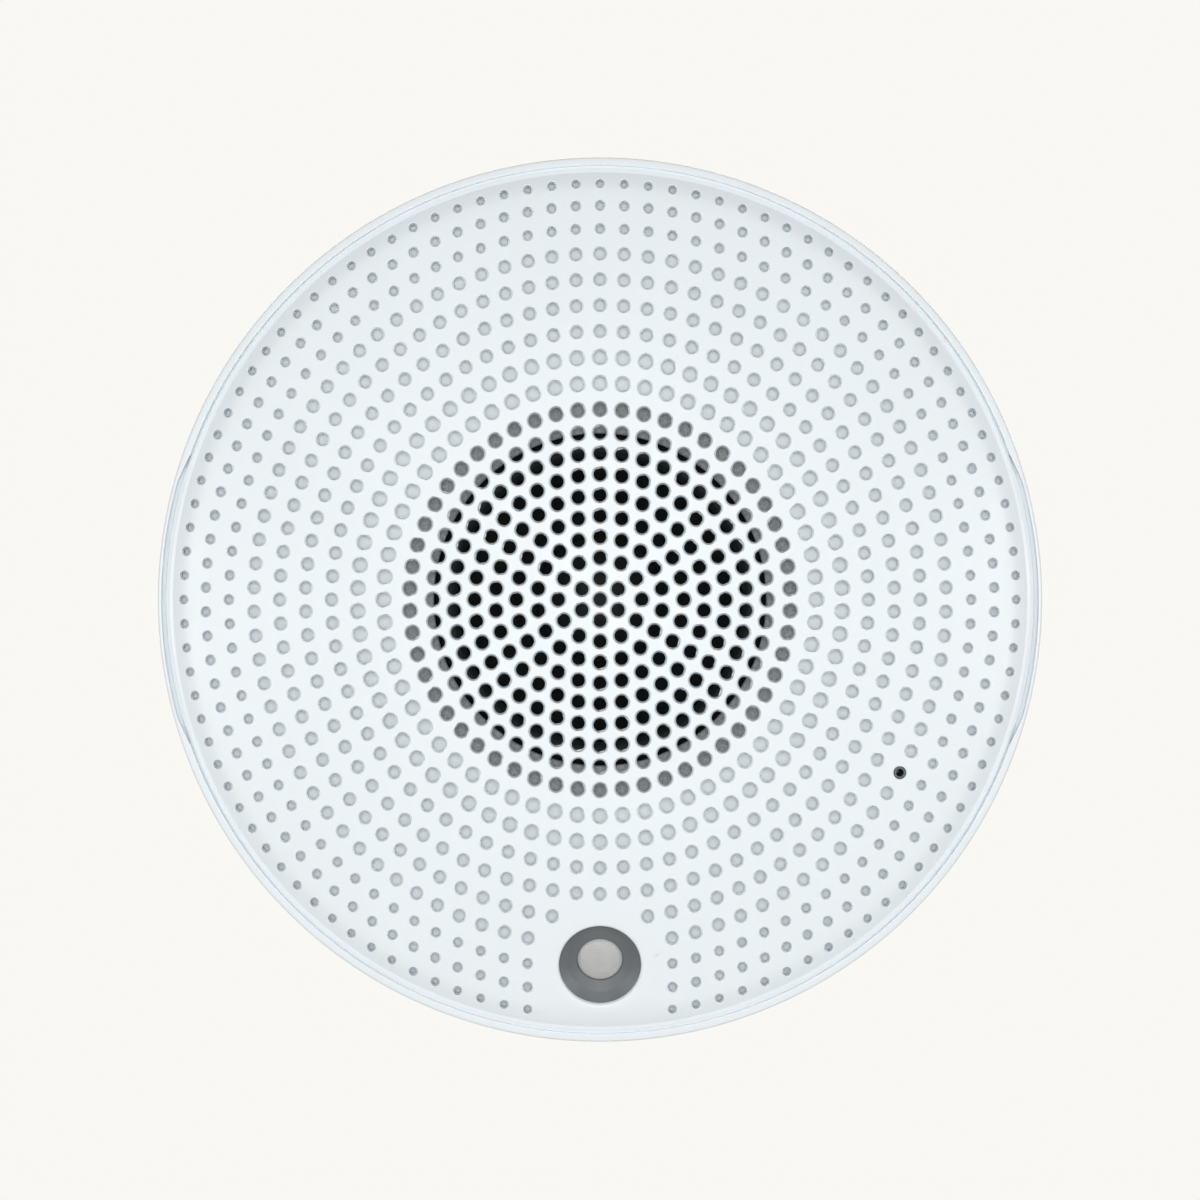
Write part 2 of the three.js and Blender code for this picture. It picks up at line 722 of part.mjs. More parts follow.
// The moving cone, with the coil under its neck and the cap over it.
function driverMoving() {
  const coneShape = turned(
    [
      [cone.neck, cone.neckZ],
      [cone.rim, cone.rimZ],
      [cone.rim, cone.rimZ + cone.thickness],
      [cone.neck, cone.neckZ + cone.thickness],
    ],
    SMALL_ROUND,
  );
  const capZ = cone.neckZ + dustCap.footRise;
  const cap = turned(
    [
      [0, capZ + dustCap.rise],
      [dustCap.radius * 0.55, capZ + dustCap.rise * 0.72],
      [dustCap.radius, capZ],
      [dustCap.radius - dustCap.thickness, capZ],
      [dustCap.radius * 0.5, capZ + dustCap.rise * 0.72 - dustCap.thickness],
      [0, capZ + dustCap.rise - dustCap.thickness],
    ],
    SMALL_ROUND,
  );
  const coilTopZ = cone.neckZ + cone.thickness / 2;
  const coilShape = turned(
    [
      [coil.inner, coil.z],
      [coil.outer, coil.z],
      [coil.outer, coil.windingTopZ],
      [coil.former, coil.windingTopZ],
      [coil.former, coilTopZ],
      [coil.inner, coilTopZ],
    ],
    SMALL_ROUND,
  );
  return [
    part("driver_cone", coneShape, "paper"),
    part("driver_dust_cap", cap, "cap"),
    part("driver_coil", coilShape, "copper"),
  ];
}

// A thin turned band: its side view is a line of [radius, height] points over footZ.
function band({ line, thickness }, footZ, sides) {
  const lower = line.map(([r, z]) => [r, footZ + z]);
  const upper = lower.toReversed().map(([r, z]) => [r, z + thickness]);
  return turned([...lower, ...upper], sides);
}

function driverSuspension() {
  return [
    part("driver_surround", band(surround, driver.flangeTopZ + THIN_GAP, SMALL_ROUND), "rubber"),
    part("driver_spider", band(spider, driver.topPlateTopZ + spider.footRise, SMALL_ROUND), "amber"),
  ];
}

// ---------------------------------------------------------------- main board

function mainBoard() {
  const holes = boardScrew.angles.map((angle) =>
    atPolar(disc(screw.holeRadius, 0, DEPTH, TINY_ROUND), boardScrew.radius, angle),
  );
  return part("main_board", cut(disc(board.radius, board.z, board.topZ, ROUND), ...holes), "circuit");
}

function boardScrews() {
  const headZ = board.topZ + FIT_GAP + screw.headHeight;
  return boardScrew.angles.map((angle, i) =>
    part(`board_screw_${i + 1}`, atPolar(panScrew(headZ, housing.plateZ + 0.9), boardScrew.radius, angle), "steel"),
  );
}

function networkJack() {
  const body = box(jack.width, jack.length, jack.z, board.z - THIN_GAP);
  const mouthY = jack.length / 2 - jack.mouthDepth / 2;
  const mouth = box(jack.mouthWidth, jack.mouthDepth + 1, jackMouth.z, jackMouth.topZ).translate(0, mouthY + 0.5, 0);
  const key = box(jackMouth.keyWidth, jack.mouthDepth + 1, jackMouth.z + 1, jackMouth.keyTopZ);
  const geometry = cut(body, mouth, key.translate(0, mouthY + 0.5, 0));
  return part("network_jack", geometry.translate(0, jack.frontY - jack.length / 2, 0), "steel");
}

function terminalBlock() {
  const { poles, z } = terminal;
  const pitch = terminal.width / poles;
  const place = (i) => (i - (poles - 1) / 2) * pitch;
  const body = box(terminal.width, terminal.depth, z, board.z - THIN_GAP);
  const wireHoles = Array.from({ length: poles }, (_, i) =>
    box(pitch * 0.63, REACH, z + 4, z + 7).translate(place(i), terminal.depth / 2, 0),
  );
  const clampHoles = Array.from({ length: poles }, (_, i) =>
    disc(pitch * 0.32, z - REACH, z + 2, TINY_ROUND).translate(place(i), -1, 0),
  );
  const geometry = cut(body, ...wireHoles, ...clampHoles);
  return part("terminal_block", geometry.translate(terminal.x, terminal.y, 0), "blackPlastic");
}

function powerTransformer(z) {
  const t = transformer;
  const core = join(
    box(t.width, t.depth, z, z + t.flange),
    box(t.coreWidth, t.coreDepth, z + t.flange - SINK, z + t.height - t.flange + SINK),
    box(t.width, t.depth, z + t.height - t.flange, z + t.height),
  );
  return part("power_transformer", core.translate(t.x, t.y, 0), "ferrite");
}

function capacitors(z) {
  const { radius, height, crimp, places } = capacitor;
  return places.map(([x, y], i) => {
    const can = turned(
      [[0, z], [radius, z], [radius, z + height - crimp], [radius - crimp, z + height], [0, z + height]],
      TINY_ROUND,
    );
    return part(`capacitor_${i + 1}`, can.translate(x, y, 0), "darkSteel");
  });
}

function boardParts() {
  const z = board.topZ + THIN_GAP;
  return [
    powerTransformer(z),
    ...capacitors(z),
    part("shield_can", roundedBox(26, 16, 1, z, z + 3.2).translate(0, 47, 0), "steel"),
    part("amplifier_chip", box(9, 9, z, z + 1.3).translate(41, -18, 0), "blackPlastic"),
    part("flex_connector", box(10, 3, z, z + 1.8).translate(0, -42, 0), "blackPlastic"),
  ];
}

function controlButton() {
  const flangeZ = pocket.z + FIT_GAP;
  const backZ = flangeZ + 2 * FIT_GAP;
  const cap = turned(
    [
      [0, button.z],
      [button.radius - 0.4, button.z],
      [button.radius, button.z + 0.4],
      [button.radius, flangeZ],
      [button.flangeRadius, flangeZ],
      [button.flangeRadius, backZ],
      [0, backZ],
    ],
    SMALL_ROUND,
  );
  return part("control_button", cap.translate(button.x, button.y, 0), "greyPlastic");
}

function controlParts() {
  const under = board.z - THIN_GAP;
  const b = buttonSwitch;
  const plunger = disc(b.plungerRadius, b.plungerZ, b.z + SINK, TINY_ROUND);
  const switchBody = join(box(b.size, b.size, b.z, under), plunger);
  const pipe = disc(lightPipe.radius, lightPipe.z, plateTopZ, TINY_ROUND);
  const led = box(3.2, 2.8, plateTopZ + THIN_GAP, under);
  return [
    part("button_switch", switchBody.translate(button.x, button.y, 0), "blackPlastic"),
    part("light_pipe", pipe.translate(lightPipe.x, lightPipe.y, 0), "clear"),
    part("status_led", led.translate(lightPipe.x, lightPipe.y, 0), "lens"),
  ];
}

// ---------------------------------------------------------------- sensors

function motionBezel() {
  const m = motion;
  const throatZ = m.front - 1.6;
  return turned(
    [
      [m.bezelInner, m.bezelBack],
      [m.bezelOuter, m.bezelBack],
      [m.bezelOuter, m.front],
      [m.bezelMouth, m.front],
      [m.bezelThroat, throatZ],
      [m.bezelThroat, throatZ - 1],
      [m.bezelInner, throatZ - 1],
    ],
    SMALL_ROUND,
  );
}

// A thin dome with a foot ring that sits behind the bezel's throat.
function motionLens() {
  const z = motion.front;
  const foot = motion.bezelInner - FIT_GAP;
  return turned(
    [
      [0, z + 0.6],
      [2.2, z + 0.1],
      [3.6, z - 1],
      [4.1, z - 2.4],
      [4.1, z - 3],
      [foot, z - 3],
      [foot, z - 3.6],
      [3.5, z - 3.6],
      [3.1, z - 1.4],
      [0, z - 0.2],
    ],
    SMALL_ROUND,
  );
}

function motionSensor() {
  const m = motion;
  const flangeTop = m.canBase + 0.4;
  const can = turned(
    [[0, m.canBase], [m.canFlange, m.canBase], [m.canFlange, flangeTop], [m.canRadius, flangeTop], [m.canRadius, m.canTop], [0, m.canTop]],
    SMALL_ROUND,
  );
  return [
    part("motion_bezel", atMotion(motionBezel()), "greyPlastic"),
    part("motion_lens", atMotion(motionLens()), "lens"),
    part("motion_detector", atMotion(can), "steel"),
    part("motion_board", atMotion(box(m.boardSize, m.boardSize, m.boardBack, m.boardTop)), "circuit"),
  ];
}

// The ribbon's side view, in [y, z], is a thin S-shaped band from the sensor board to its connector.
function motionFlex() {
  const route = [[-52.4, 26.2], [-50.6, 24.6], [-51.6, 21.6], [-48, 20.2], [-44, 20.2]];
  const path = new THREE.SplineCurve(route.map(([y, z]) => new THREE.Vector2(y, z)));
  const line = path.getPoints(12);
  const shifted = line.toReversed().map((p) => new THREE.Vector2(p.x + flex.thickness, p.y + flex.thickness));
  const toSide = new THREE.Matrix4().makeBasis(
    new THREE.Vector3(0, 1, 0),
    new THREE.Vector3(0, 0, 1),
    new THREE.Vector3(1, 0, 0),
  );
  const geometry = extruded([...line, ...shifted], -flex.width / 2, flex.width / 2);
  return part("motion_flex", geometry.applyMatrix4(toSide), "amber");
}

function microphone() {
  const m = mic;
  const back = m.front - m.bootDepth;
  const frontBack = m.front - m.bootFront;
  const boot = turned(
    [
      [m.bootBore, m.front],
      [m.bootRadius, m.front],
      [m.bootRadius, back],
      [m.bootInner, back],
      [m.bootInner, frontBack],
      [m.bootBore, frontBack],
    ],
    TINY_ROUND,
  );
  const capsule = disc(m.capsuleRadius, m.front - m.capsuleDepth, frontBack - FIT_GAP, TINY_ROUND);
  const carrier = box(m.boardSize, m.boardSize, m.front - m.boardDepth, back - FIT_GAP);
  return [
    part("mic_boot", atMic(boot), "rubber"),
    part("mic_capsule", atMic(capsule), "steel"),
    part("mic_board", atMic(carrier), "circuit"),
  ];
}

// ---------------------------------------------------------------- wires

function wire(name, points, finish) {
  const path = new THREE.CatmullRomCurve3(points.map((p) => new THREE.Vector3(...p)));
  const section = new THREE.Shape(circle(wireRadius, 6));
  const geometry = new THREE.ExtrudeGeometry(section, { steps: 14, extrudePath: path, bevelEnabled: false });
  return part(name, geometry, finish);
}

function wires() {
  const endZ = board.topZ + FIT_GAP;
  return [
    wire("driver_wire_plus", [[-35.6, 3.5, 30], [-36.6, 5, 26], [-33, 8, 22], [-31, 10, endZ]], "red"),
    wire("driver_wire_minus", [[-35.6, -3.5, 30], [-36.8, -6, 26], [-35, -10, 22], [-33, -12, endZ]], "blackPlastic"),
    wire("mic_wire", [[44.5, -25.5, 32], [42, -26, 28], [39, -28, 23], [38, -30, endZ]], "blackPlastic"),
  ];
}

// ---------------------------------------------------------------- assembly

function group(...children) {
  const made = new THREE.Group();
  made.add(...children.flat());
  return made;
}

const loudspeaker = group(
  driverBasket(),
  driverMotor(),
  driverGasket(),
  driverTerminal(),
  driverScrews(),
  group(driverMoving(), driverSuspension()),
);
const electronics = group(
  mainBoard(),
  boardScrews(),
  networkJack(),
  terminalBlock(),
  boardParts(),
  controlButton(),
  controlParts(),
  wires(),
);
const sensors = group(motionSensor(), motionFlex(), microphone());
const enclosure = group(baseHousing(), backLabel(), housingScrews(), frontBaffle(), baffleSeal(), dampingFoam());
const frontPanel = group(frontCover(), micPortRing());

const speaker = group(wallBracket(), enclosure, frontPanel, loudspeaker, electronics, sensors);
speaker.rotation.x = Math.PI / 2;

export default speaker;
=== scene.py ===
"""Looks, light and camera for the round wall speaker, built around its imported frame.

Lengths are millimetres and angles are degrees, in the speaker's own frame: x to the right, y up and
z out of the wall, which is at z = 0. Angles run anticlockwise from +x as seen from the front. place()
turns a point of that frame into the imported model's metres.
"""

import json
from math import asin, atan2, ceil, cos, hypot, pi, radians, sin, sqrt, tan
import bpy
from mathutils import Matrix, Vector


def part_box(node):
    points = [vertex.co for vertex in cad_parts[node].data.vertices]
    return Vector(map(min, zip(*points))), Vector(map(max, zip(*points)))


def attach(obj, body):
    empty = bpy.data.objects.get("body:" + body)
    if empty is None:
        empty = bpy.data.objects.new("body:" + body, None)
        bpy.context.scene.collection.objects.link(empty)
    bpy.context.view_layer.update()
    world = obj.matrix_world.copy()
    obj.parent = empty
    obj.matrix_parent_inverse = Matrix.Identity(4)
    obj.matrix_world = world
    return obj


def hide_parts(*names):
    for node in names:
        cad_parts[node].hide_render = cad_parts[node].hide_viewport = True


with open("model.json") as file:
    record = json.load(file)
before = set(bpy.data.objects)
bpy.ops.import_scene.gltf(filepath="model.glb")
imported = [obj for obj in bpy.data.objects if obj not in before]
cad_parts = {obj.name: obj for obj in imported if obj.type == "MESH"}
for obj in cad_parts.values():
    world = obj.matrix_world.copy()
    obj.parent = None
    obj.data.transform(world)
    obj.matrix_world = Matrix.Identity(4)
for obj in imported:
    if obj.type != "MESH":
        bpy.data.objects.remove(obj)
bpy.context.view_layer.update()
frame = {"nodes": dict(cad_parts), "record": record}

from types import SimpleNamespace as Sizes

import bmesh
import bpy
from mathutils import Matrix, Vector

# ---- driving dimensions

MM = 0.001
OUTER_RADIUS = 72.5
WALL_GAP = 1.2
RIM_Z = 35
# Angles at which parts repeat round the axis.
TOP = 90
BOTTOM = 270
DIAGONALS = (45, 135, 225, 315)
THIRDS = (90, 210, 330)
QUARTERS = (0, 90, 180, 270)
# How far a cutting tool reaches past the wall it opens, and how far one wall reaches into another.
CLEAR = 1
OVERLAP = 0.5
# Steps in a corner that shows from outside, sides of a small round part, and the slack of tests.
FINE = 4
SMALL = 32
TINY = 1e-6
ANGLE_SLACK = 1e-3

# The cover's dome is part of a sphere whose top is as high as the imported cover. Beyond roll_radius it
# falls off further, by roll times the square of the distance.
DOME_TOP = -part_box("front_cover")[0].y / MM
DOME = Sizes(sphere=200, roll_radius=66.2, roll=0.07, thickness=1.9)

# The sound holes lie on rings, ring k with 6 k holes, the first at the top. Each zone is a number of
# rings and their pitch.
HOLES_PER_RING = 6
RING_ZONES = [(8, 3.4), (1, 3.8), (6, 4.26), (1, 4.13), (1, 3.84), (1, 3.66)]
# The radius of the holes, from this ring outwards.
HOLE_RADII = [(0, 1.32), (12, 1.15), (16, 0.89), (18, 0.77)]
# They run straight back and narrow by the taper, so that every one shows its wall all round.
HOLE = Sizes(edge=0.1, taper=0.26, sides=24, outer_sides=20, outer_from=12)
# The holes that are left out below the middle, for the motion sensor: ring -> holes to each side.
MISSING = {14: 1, 15: 2, 16: 2, 17: 2, 18: 2}
FIELD_RADIUS = 69.3
RIM_SIDES = 432
# The degrees between two points round the hole in the middle.
MIDDLE_STEP = 15
# Points along the sides of the outermost cells, where the dome rolls off.
ROLL_STEPS = 6
# The cover's rim from the field of holes outwards and round to its inside, as (radius, z, rounding).
RIM_PROFILE = [
    (70.0, 34.23, 0.1), (70.55, 33.98, 0.1), (71.13, 33.35, 0.05), (71.13, 30.6, 0.3),
    (69.3, 30.6, 0.3), (69.3, 32.4, 0.1),
]
# Circles on which the steep end of the roll-off is drawn, inside the rim.
ROLL_ENDS = (69.45, 69.6, 69.75, 69.9)
SNAP = Sizes(half=3, inner=69.4, outer=70.9, z=27.2, top_z=31)

# The opening for the motion sensor looks down by its tilt. The cover is thinner round it, behind. The
# plain field round it has two more circles of points, at these shares of the way to the nearest holes.
MOTION = Sizes(y=-60.0, tilt=25, radius=6.72, edge=0.5, wall=0.9, recess=8.2, sides=72)
FIELD_SHARES = (0.3, 0.65)
# Steps in which a point on the sensor's bore is moved onto the dome.
SETTLING_STEPS = 12
MIC = Sizes(ring=15, angle=330, hole=1.06, inner=0.65, outer=0.93, inset=0.06, edge=0.08)

# How far the camera stands, how wide it sees there, its sensor, how far below the axis it is, and the
# nearest distance it sees, in metres.
CAMERA = Sizes(distance=1500, width=196.6, sensor=36, drop=0.08, clip=0.05)

# ---- placing and shapes


def place(x, y, z):
    return Vector((x, -z, y)) * MM


def polar(radius, angle):
    return radius * cos(radians(angle)), radius * sin(radians(angle))


def turn_by(angle):
    return Matrix.Rotation(radians(angle), 4, "Z")


def move_by(x, y, z=0):
    return Matrix.Translation((x, y, z))


def at(part):
    return move_by(part.x, part.y)


def at_polar(radius, angle):
    return turn_by(angle) @ move_by(radius, 0)


class Shape:
    """Points and faces in the speaker's own frame."""

    def __init__(self, points=(), faces=()):
        self.points = [Vector(point) for point in points]
        self.faces = [tuple(face) for face in faces]

    def moved(self, matrix):
        return Shape([matrix @ point for point in self.points], self.faces)


# The largest share of a side that a rounded corner takes, the sharpest mitre of an inset outline, and
# the degrees between two points of an arc.
ROUNDED_SHARE = 0.49
MITRE = 0.4
ARC_STEP = 3


def fillet(corners, steps=3):
    """The closed outline through (u, v, rounding) corners, each corner turned into a small arc."""
    outline = []
    for index, (u, v, rounding) in enumerate(corners):
        corner = Vector((u, v))
        before = Vector(corners[index - 1][:2]) - corner
        after = Vector(corners[(index + 1) % len(corners)][:2]) - corner
        if rounding <= 0:
            outline.append(corner)
            continue
        half = before.angle(after) / 2
        reach = min(rounding / tan(half), ROUNDED_SHARE * before.length, ROUNDED_SHARE * after.length)
        start = corner + before.normalized() * reach
        end = corner + after.normalized() * reach
        for step in range(steps + 1):
            t = step / steps
            outline.append(start * (1 - t) ** 2 + corner * 2 * t * (1 - t) + end * t**2)
    return outline


def evenly(corners, rounding):
    """The same rounding on every corner, apart from those on the axis."""
    return [(u, v, rounding if u > 0 else 0) for u, v in corners]


def turned(profile, sides):
    """A closed profile of (radius, z) points turned about the z axis."""
    points = []
    rows = []
    for radius, z in profile:
        if radius < TINY:
            rows.append([len(points)] * sides)
            points.append((0, 0, z))
            continue
        rows.append(list(range(len(points), len(points) + sides)))
        points += [(*polar(radius, 360 * step / sides), z) for step in range(sides)]
    faces = []
    for index, row in enumerate(rows):
        following = rows[(index + 1) % len(rows)]
        for step in range(sides):
            other = (step + 1) % sides
            corners = dict.fromkeys((row[step], row[other], following[other], following[step]))
            if len(corners) > 2:
                faces.append(tuple(corners))
    return Shape(points, faces)


def lathe(corners, sides, steps=3):
    """A profile of (radius, z, rounding) corners turned about the z axis."""
    return turned(fillet(corners, steps), sides)


def ring(inner, outer, z0, z1, rounding=0.2, sides=128):
    corners = [(inner, z0), (outer, z0), (outer, z1), (inner, z1)]
    return lathe(evenly(corners, rounding), sides)


def disc(radius, z0, z1, rounding=0.2, sides=64):
    corners = [(0, z0), (radius, z0), (radius, z1), (0, z1)]
    return lathe(evenly(corners, rounding), sides)


def inset(outline, distance):
    """An anticlockwise outline moved inwards."""
    moved = []
    for index, point in enumerate(outline):
        into = (point - outline[index - 1]).normalized()
        out = (outline[(index + 1) % len(outline)] - point).normalized()
        along = (into + out).normalized()
        stretch = max(along.dot(into), MITRE)
        moved.append(point + Vector((-along.y, along.x)) * distance / stretch)
    return moved


def prism(outline, z0, z1, edge=0.2, steps=2):
    """An anticlockwise outline raised from z0 to z1, with rounded upper and lower edges."""
    outline = [Vector(point) for point in outline]
    levels = []
    for step in range(steps + 1):
        angle = pi / 2 * step / steps
        levels.append((edge * (1 - sin(angle)), z0 + edge * (1 - cos(angle))))
    levels += [(distance, z0 + z1 - z) for distance, z in reversed(levels)]
    if edge <= 0:
        levels = [(0, z0), (0, z1)]
    count = len(outline)
    points = [(p.x, p.y, z) for distance, z in levels for p in inset(outline, distance)]
    faces = [tuple(reversed(range(count))), tuple(range(len(points) - count, len(points)))]
    for level in range(len(levels) - 1):
        low = level * count
        for i in range(count):
            j = (i + 1) % count
            faces.append((low + i, low + j, low + count + j, low + count + i))
    return Shape(points, faces)


def rectangle(width, height, corner=0.4, steps=3):
    """An anticlockwise outline round the origin."""
    x, y = width / 2, height / 2
    return fillet([(x, -y, corner), (x, y, corner), (-x, y, corner), (-x, -y, corner)], steps)


def slab(width, height, z0, z1, corner=0.4, edge=0.2):
    return prism(rectangle(width, height, corner), z0, z1, edge)


def arc_outline(inner, outer, start, end, corner=0.3):
    """An anticlockwise outline between two circles and two angles, with a point every few degrees."""
    steps = max(2, ceil((end - start) / ARC_STEP))
    angles = [start + (end - start) * step / steps for step in range(steps + 1)]
    rounding = [corner if step in (0, steps) else 0 for step in range(steps + 1)]
    outside = [(*polar(outer, angle), r) for angle, r in zip(angles, rounding)]
    inside = [(*polar(inner, angle), r) for angle, r in zip(angles, rounding)]
    return fillet(outside + inside[::-1])


def sector(inner, outer, start, end, z0, z1, corner=0.3, edge=0.2):
    return prism(arc_outline(inner, outer, start, end, corner), z0, z1, edge)


# ---- pieces

BODY_OF = {node: body for body, nodes in frame["record"]["behaviour"]["bodies"].items() for node in nodes}
SLOT_OF = {part["node"]: part["material_slot"] for part in frame["record"]["subparts"]}
SHARP_ANGLE = radians(32)


def new_object(name, data):
    made = bpy.data.objects.new(name, data)
    bpy.context.scene.collection.objects.link(made)
    return made


def mesh_from(name, shape):
    mesh = bpy.data.meshes.new(name)
    mesh.from_pydata([place(*point) for point in shape.points], [], shape.faces)
    work = bmesh.new()
    work.from_mesh(mesh)
    bmesh.ops.recalc_face_normals(work, faces=work.faces)
    work.to_mesh(mesh)
    work.free()
    return mesh


def carve(mesh, tools):
    """Cuts the tools out of a mesh, one after another."""
    body = new_object("carved", mesh)
    helpers = []
    for tool in tools:
        helper = new_object("tool", mesh_from("tool", tool))
        cut = body.modifiers.new("cut", "BOOLEAN")
        cut.operation = "DIFFERENCE"
        cut.solver = "MANIFOLD"
        cut.object = helper
        helpers.append(helper)
    graph = bpy.context.evaluated_depsgraph_get()
    result = bpy.data.meshes.new_from_object(body.evaluated_get(graph))
    for used in [body, *helpers]:
        bpy.data.objects.remove(used)
    return result


def add_piece(node, shape, tools=(), extras=()):
    """The fine piece that stands for a CAD node. Tools are cut out of it, then the extras are added."""
    mesh = mesh_from(f"{node}_fine", shape)
    if tools:
        mesh = carve(mesh, tools)
    if extras:
        work = bmesh.new()
        work.from_mesh(mesh)
        for extra in extras:
            work.from_mesh(mesh_from("extra", extra))
        work.to_mesh(mesh)
        work.free()
    mesh.shade_smooth()
    mesh.set_sharp_from_angle(angle=SHARP_ANGLE)
    piece = new_object(f"{node}_fine", mesh)
    mesh.materials.clear()
    mesh.materials.append(material_for(SLOT_OF[node]))
    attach(piece, BODY_OF[node])
    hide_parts(node)
    return piece


# ---- materials


def colour_of(red, green, blue):
    """Linear colour from sRGB levels of 0 to 255."""
    levels = [level / 255 for level in (red, green, blue)]
    linear = [c / 12.92 if c <= 0.04045 else ((c + 0.055) / 1.055) ** 2.4 for c in levels]
    return (*linear, 1)


# The wave texture repeats about every 0.31 units at a scale of 1. Half the width of the noise that
# breaks up worn edges.
BAND_SCALE = 0.31
WEAR_NOISE = 0.04
# How noise is scaled along x, y and z: less than 1 draws it out along that axis, more than 1 squeezes it.
SCUFFED = (1, 1, 0.25)
DRAWN = (1, 1, 0.05)
FIBROUS = (1, 1, 1.6)
FLOWING = (1, 1, 0.2)


class Surface:
    """A node material whose textures use object coordinates, so that they ride with the piece."""

    def __init__(self, name):
        self.material = bpy.data.materials.new(name)
        self.material.use_nodes = True
        self.tree = self.material.node_tree
        self.shader = self.tree.nodes["Principled BSDF"]
        self.coordinates = self.tree.nodes.new("ShaderNodeTexCoord").outputs["Object"]

    def node(self, kind, inputs, output=0, **settings):
        made = self.tree.nodes.new(kind)
        for key, value in settings.items():
            setattr(made, key, value)
        for key, value in inputs.items():
            if isinstance(value, bpy.types.NodeSocket):
                self.tree.links.new(value, made.inputs[key])
            else:
                made.inputs[key].default_value = value
        return made.outputs[output]

    def noise(self, size, detail, stretch=None):
        """Noise from 0 to 1 whose features are about size millimetres across."""
        vector = self.coordinates
        if stretch:
            vector = self.node("ShaderNodeMapping", {"Vector": vector, "Scale": stretch})
        inputs = {"Vector": vector, "Scale": 1 / (size * MM), "Detail": detail}
        return self.node("ShaderNodeTexNoise", inputs)

    def cells(self, size):
        inputs = {"Vector": self.coordinates, "Scale": 1 / (size * MM)}
        return self.node("ShaderNodeTexVoronoi", inputs)

    def wave(self, size, direction, distortion=0.6):
        """Bands from 0 to 1 that repeat about every size millimetres."""
        inputs = {"Vector": self.coordinates, "Scale": BAND_SCALE / (size * MM), "Distortion": distortion}
        return self.node("ShaderNodeTexWave", inputs, 1, bands_direction=direction)

    def off_axis(self):
        """The distance from the speaker's axis, in metres."""
        flat = self.node("ShaderNodeVectorMath", {0: self.coordinates, 1: (1, 0, 1)}, operation="MULTIPLY")
        return self.node("ShaderNodeVectorMath", {0: flat}, 1, operation="LENGTH")

    def spread(self, value, low, high, start=0.3, end=0.7):
        """Low where the value is start or less, high where it is end or more."""
        inputs = {"Value": value, "From Min": start, "From Max": end, "To Min": low, "To Max": high}
        return self.node("ShaderNodeMapRange", inputs)

    def blend(self, factor, first, second):
        """A colour between two others. The mix node's colours are its inputs 6 and 7, and its output 2."""
        inputs = {"Factor": factor, 6: first, 7: second}
        return self.node("ShaderNodeMix", inputs, 2, data_type="RGBA")

    def join(self, operation, first, second):
        return self.node("ShaderNodeMath", {0: first, 1: second}, operation=operation)

    def worn_edges(self, low=0.52, high=0.6):
        """1 on outward edges and 0 elsewhere, broken up by noise."""
        edge = self.node("ShaderNodeNewGeometry", {}, "Pointiness")
        rough = self.join("MULTIPLY", self.noise(1.5, 4), 2 * WEAR_NOISE)
        return self.spread(self.join("ADD", edge, rough), 0, 1, low + WEAR_NOISE, high + WEAR_NOISE)

    def tones(self, factor, colour, low, high):
        """The colour made darker or lighter, from low where the factor is 0 to high where it is 1."""
        return self.blend(factor, shade(colour, low), shade(colour, high))

    def dress(self, colour, roughness, height, depth):
        """Links the colour, the roughness and a relief whose height of 0 to 1 is depth millimetres."""
        self.set("Base Color", colour)
        self.set("Roughness", roughness)
        inputs = {"Height": height, "Distance": depth * MM, "Strength": 1.0}
        self.set("Normal", self.node("ShaderNodeBump", inputs))

    def set(self, name, value):
        socket = self.shader.inputs[name]
        if isinstance(value, bpy.types.NodeSocket):
            self.tree.links.new(value, socket)
        else:
            socket.default_value = value


def shade(colour, factor):
    return (*(min(channel * factor, 1) for channel in colour[:3]), 1)


def moulded(surface, colour, roughness, grain=0.35, depth=0.012, mottle=0.02, wear=None):
    """Moulded plastic: spark-eroded grain, slow shifts of tone, and scuffs that change the gloss."""
    tone = surface.spread(surface.noise(22, 3), 0, 1)
    body = surface.tones(tone, colour, 1 - mottle, 1 + mottle)
    if wear:
        body = surface.blend(surface.worn_edges(), body, colour_of(*wear))
    rough = surface.spread(surface.noise(3, 5, SCUFFED), roughness - 0.05, roughness + 0.07)
    surface.dress(body, rough, surface.noise(grain, 3), depth)


def metal(surface, colour, roughness):
    """Plated or tinned sheet: drawn streaks, cloudy tarnish and brighter edges."""
    lines = surface.noise(0.12, 4, DRAWN)
    clouds = surface.noise(2.5, 5)
    tarnished = surface.tones(surface.spread(clouds, 0, 1), colour, 0.78, 1)
    body = surface.blend(surface.worn_edges(), tarnished, shade(colour, 1.35))
    cloudy = surface.spread(clouds, roughness, roughness + 0.12)
    rough = surface.join("ADD", surface.spread(lines, -0.06, 0.08), cloudy)
    surface.dress(body, rough, lines, 0.006)
    surface.set("Metallic", 1.0)


def coated(surface, colour, roughness):
    """Powder coat or cast ceramic: fine orange peel with chipped edges."""
    body = surface.tones(surface.worn_edges(0.54), colour, 1, 3.5)
    rough = surface.spread(surface.noise(4, 4), roughness - 0.08, roughness + 0.1)
    surface.dress(body, rough, surface.noise(0.5, 2), 0.03)


def foam(surface, colour, cell, depth=0.12):
    """Foam: dark pores between pale cell walls, and a little dust."""
    pores = surface.cells(cell)
    body = surface.tones(surface.spread(pores, 0, 1, 0.1, 0.7), colour, 0.72, 1.18)
    dust = surface.spread(surface.noise(6, 4), 0, 0.25)
    dusty = surface.blend(dust, body, shade(colour, 1.5))
    surface.dress(dusty, surface.spread(surface.noise(1, 2), 0.85, 1.0), pores, depth)


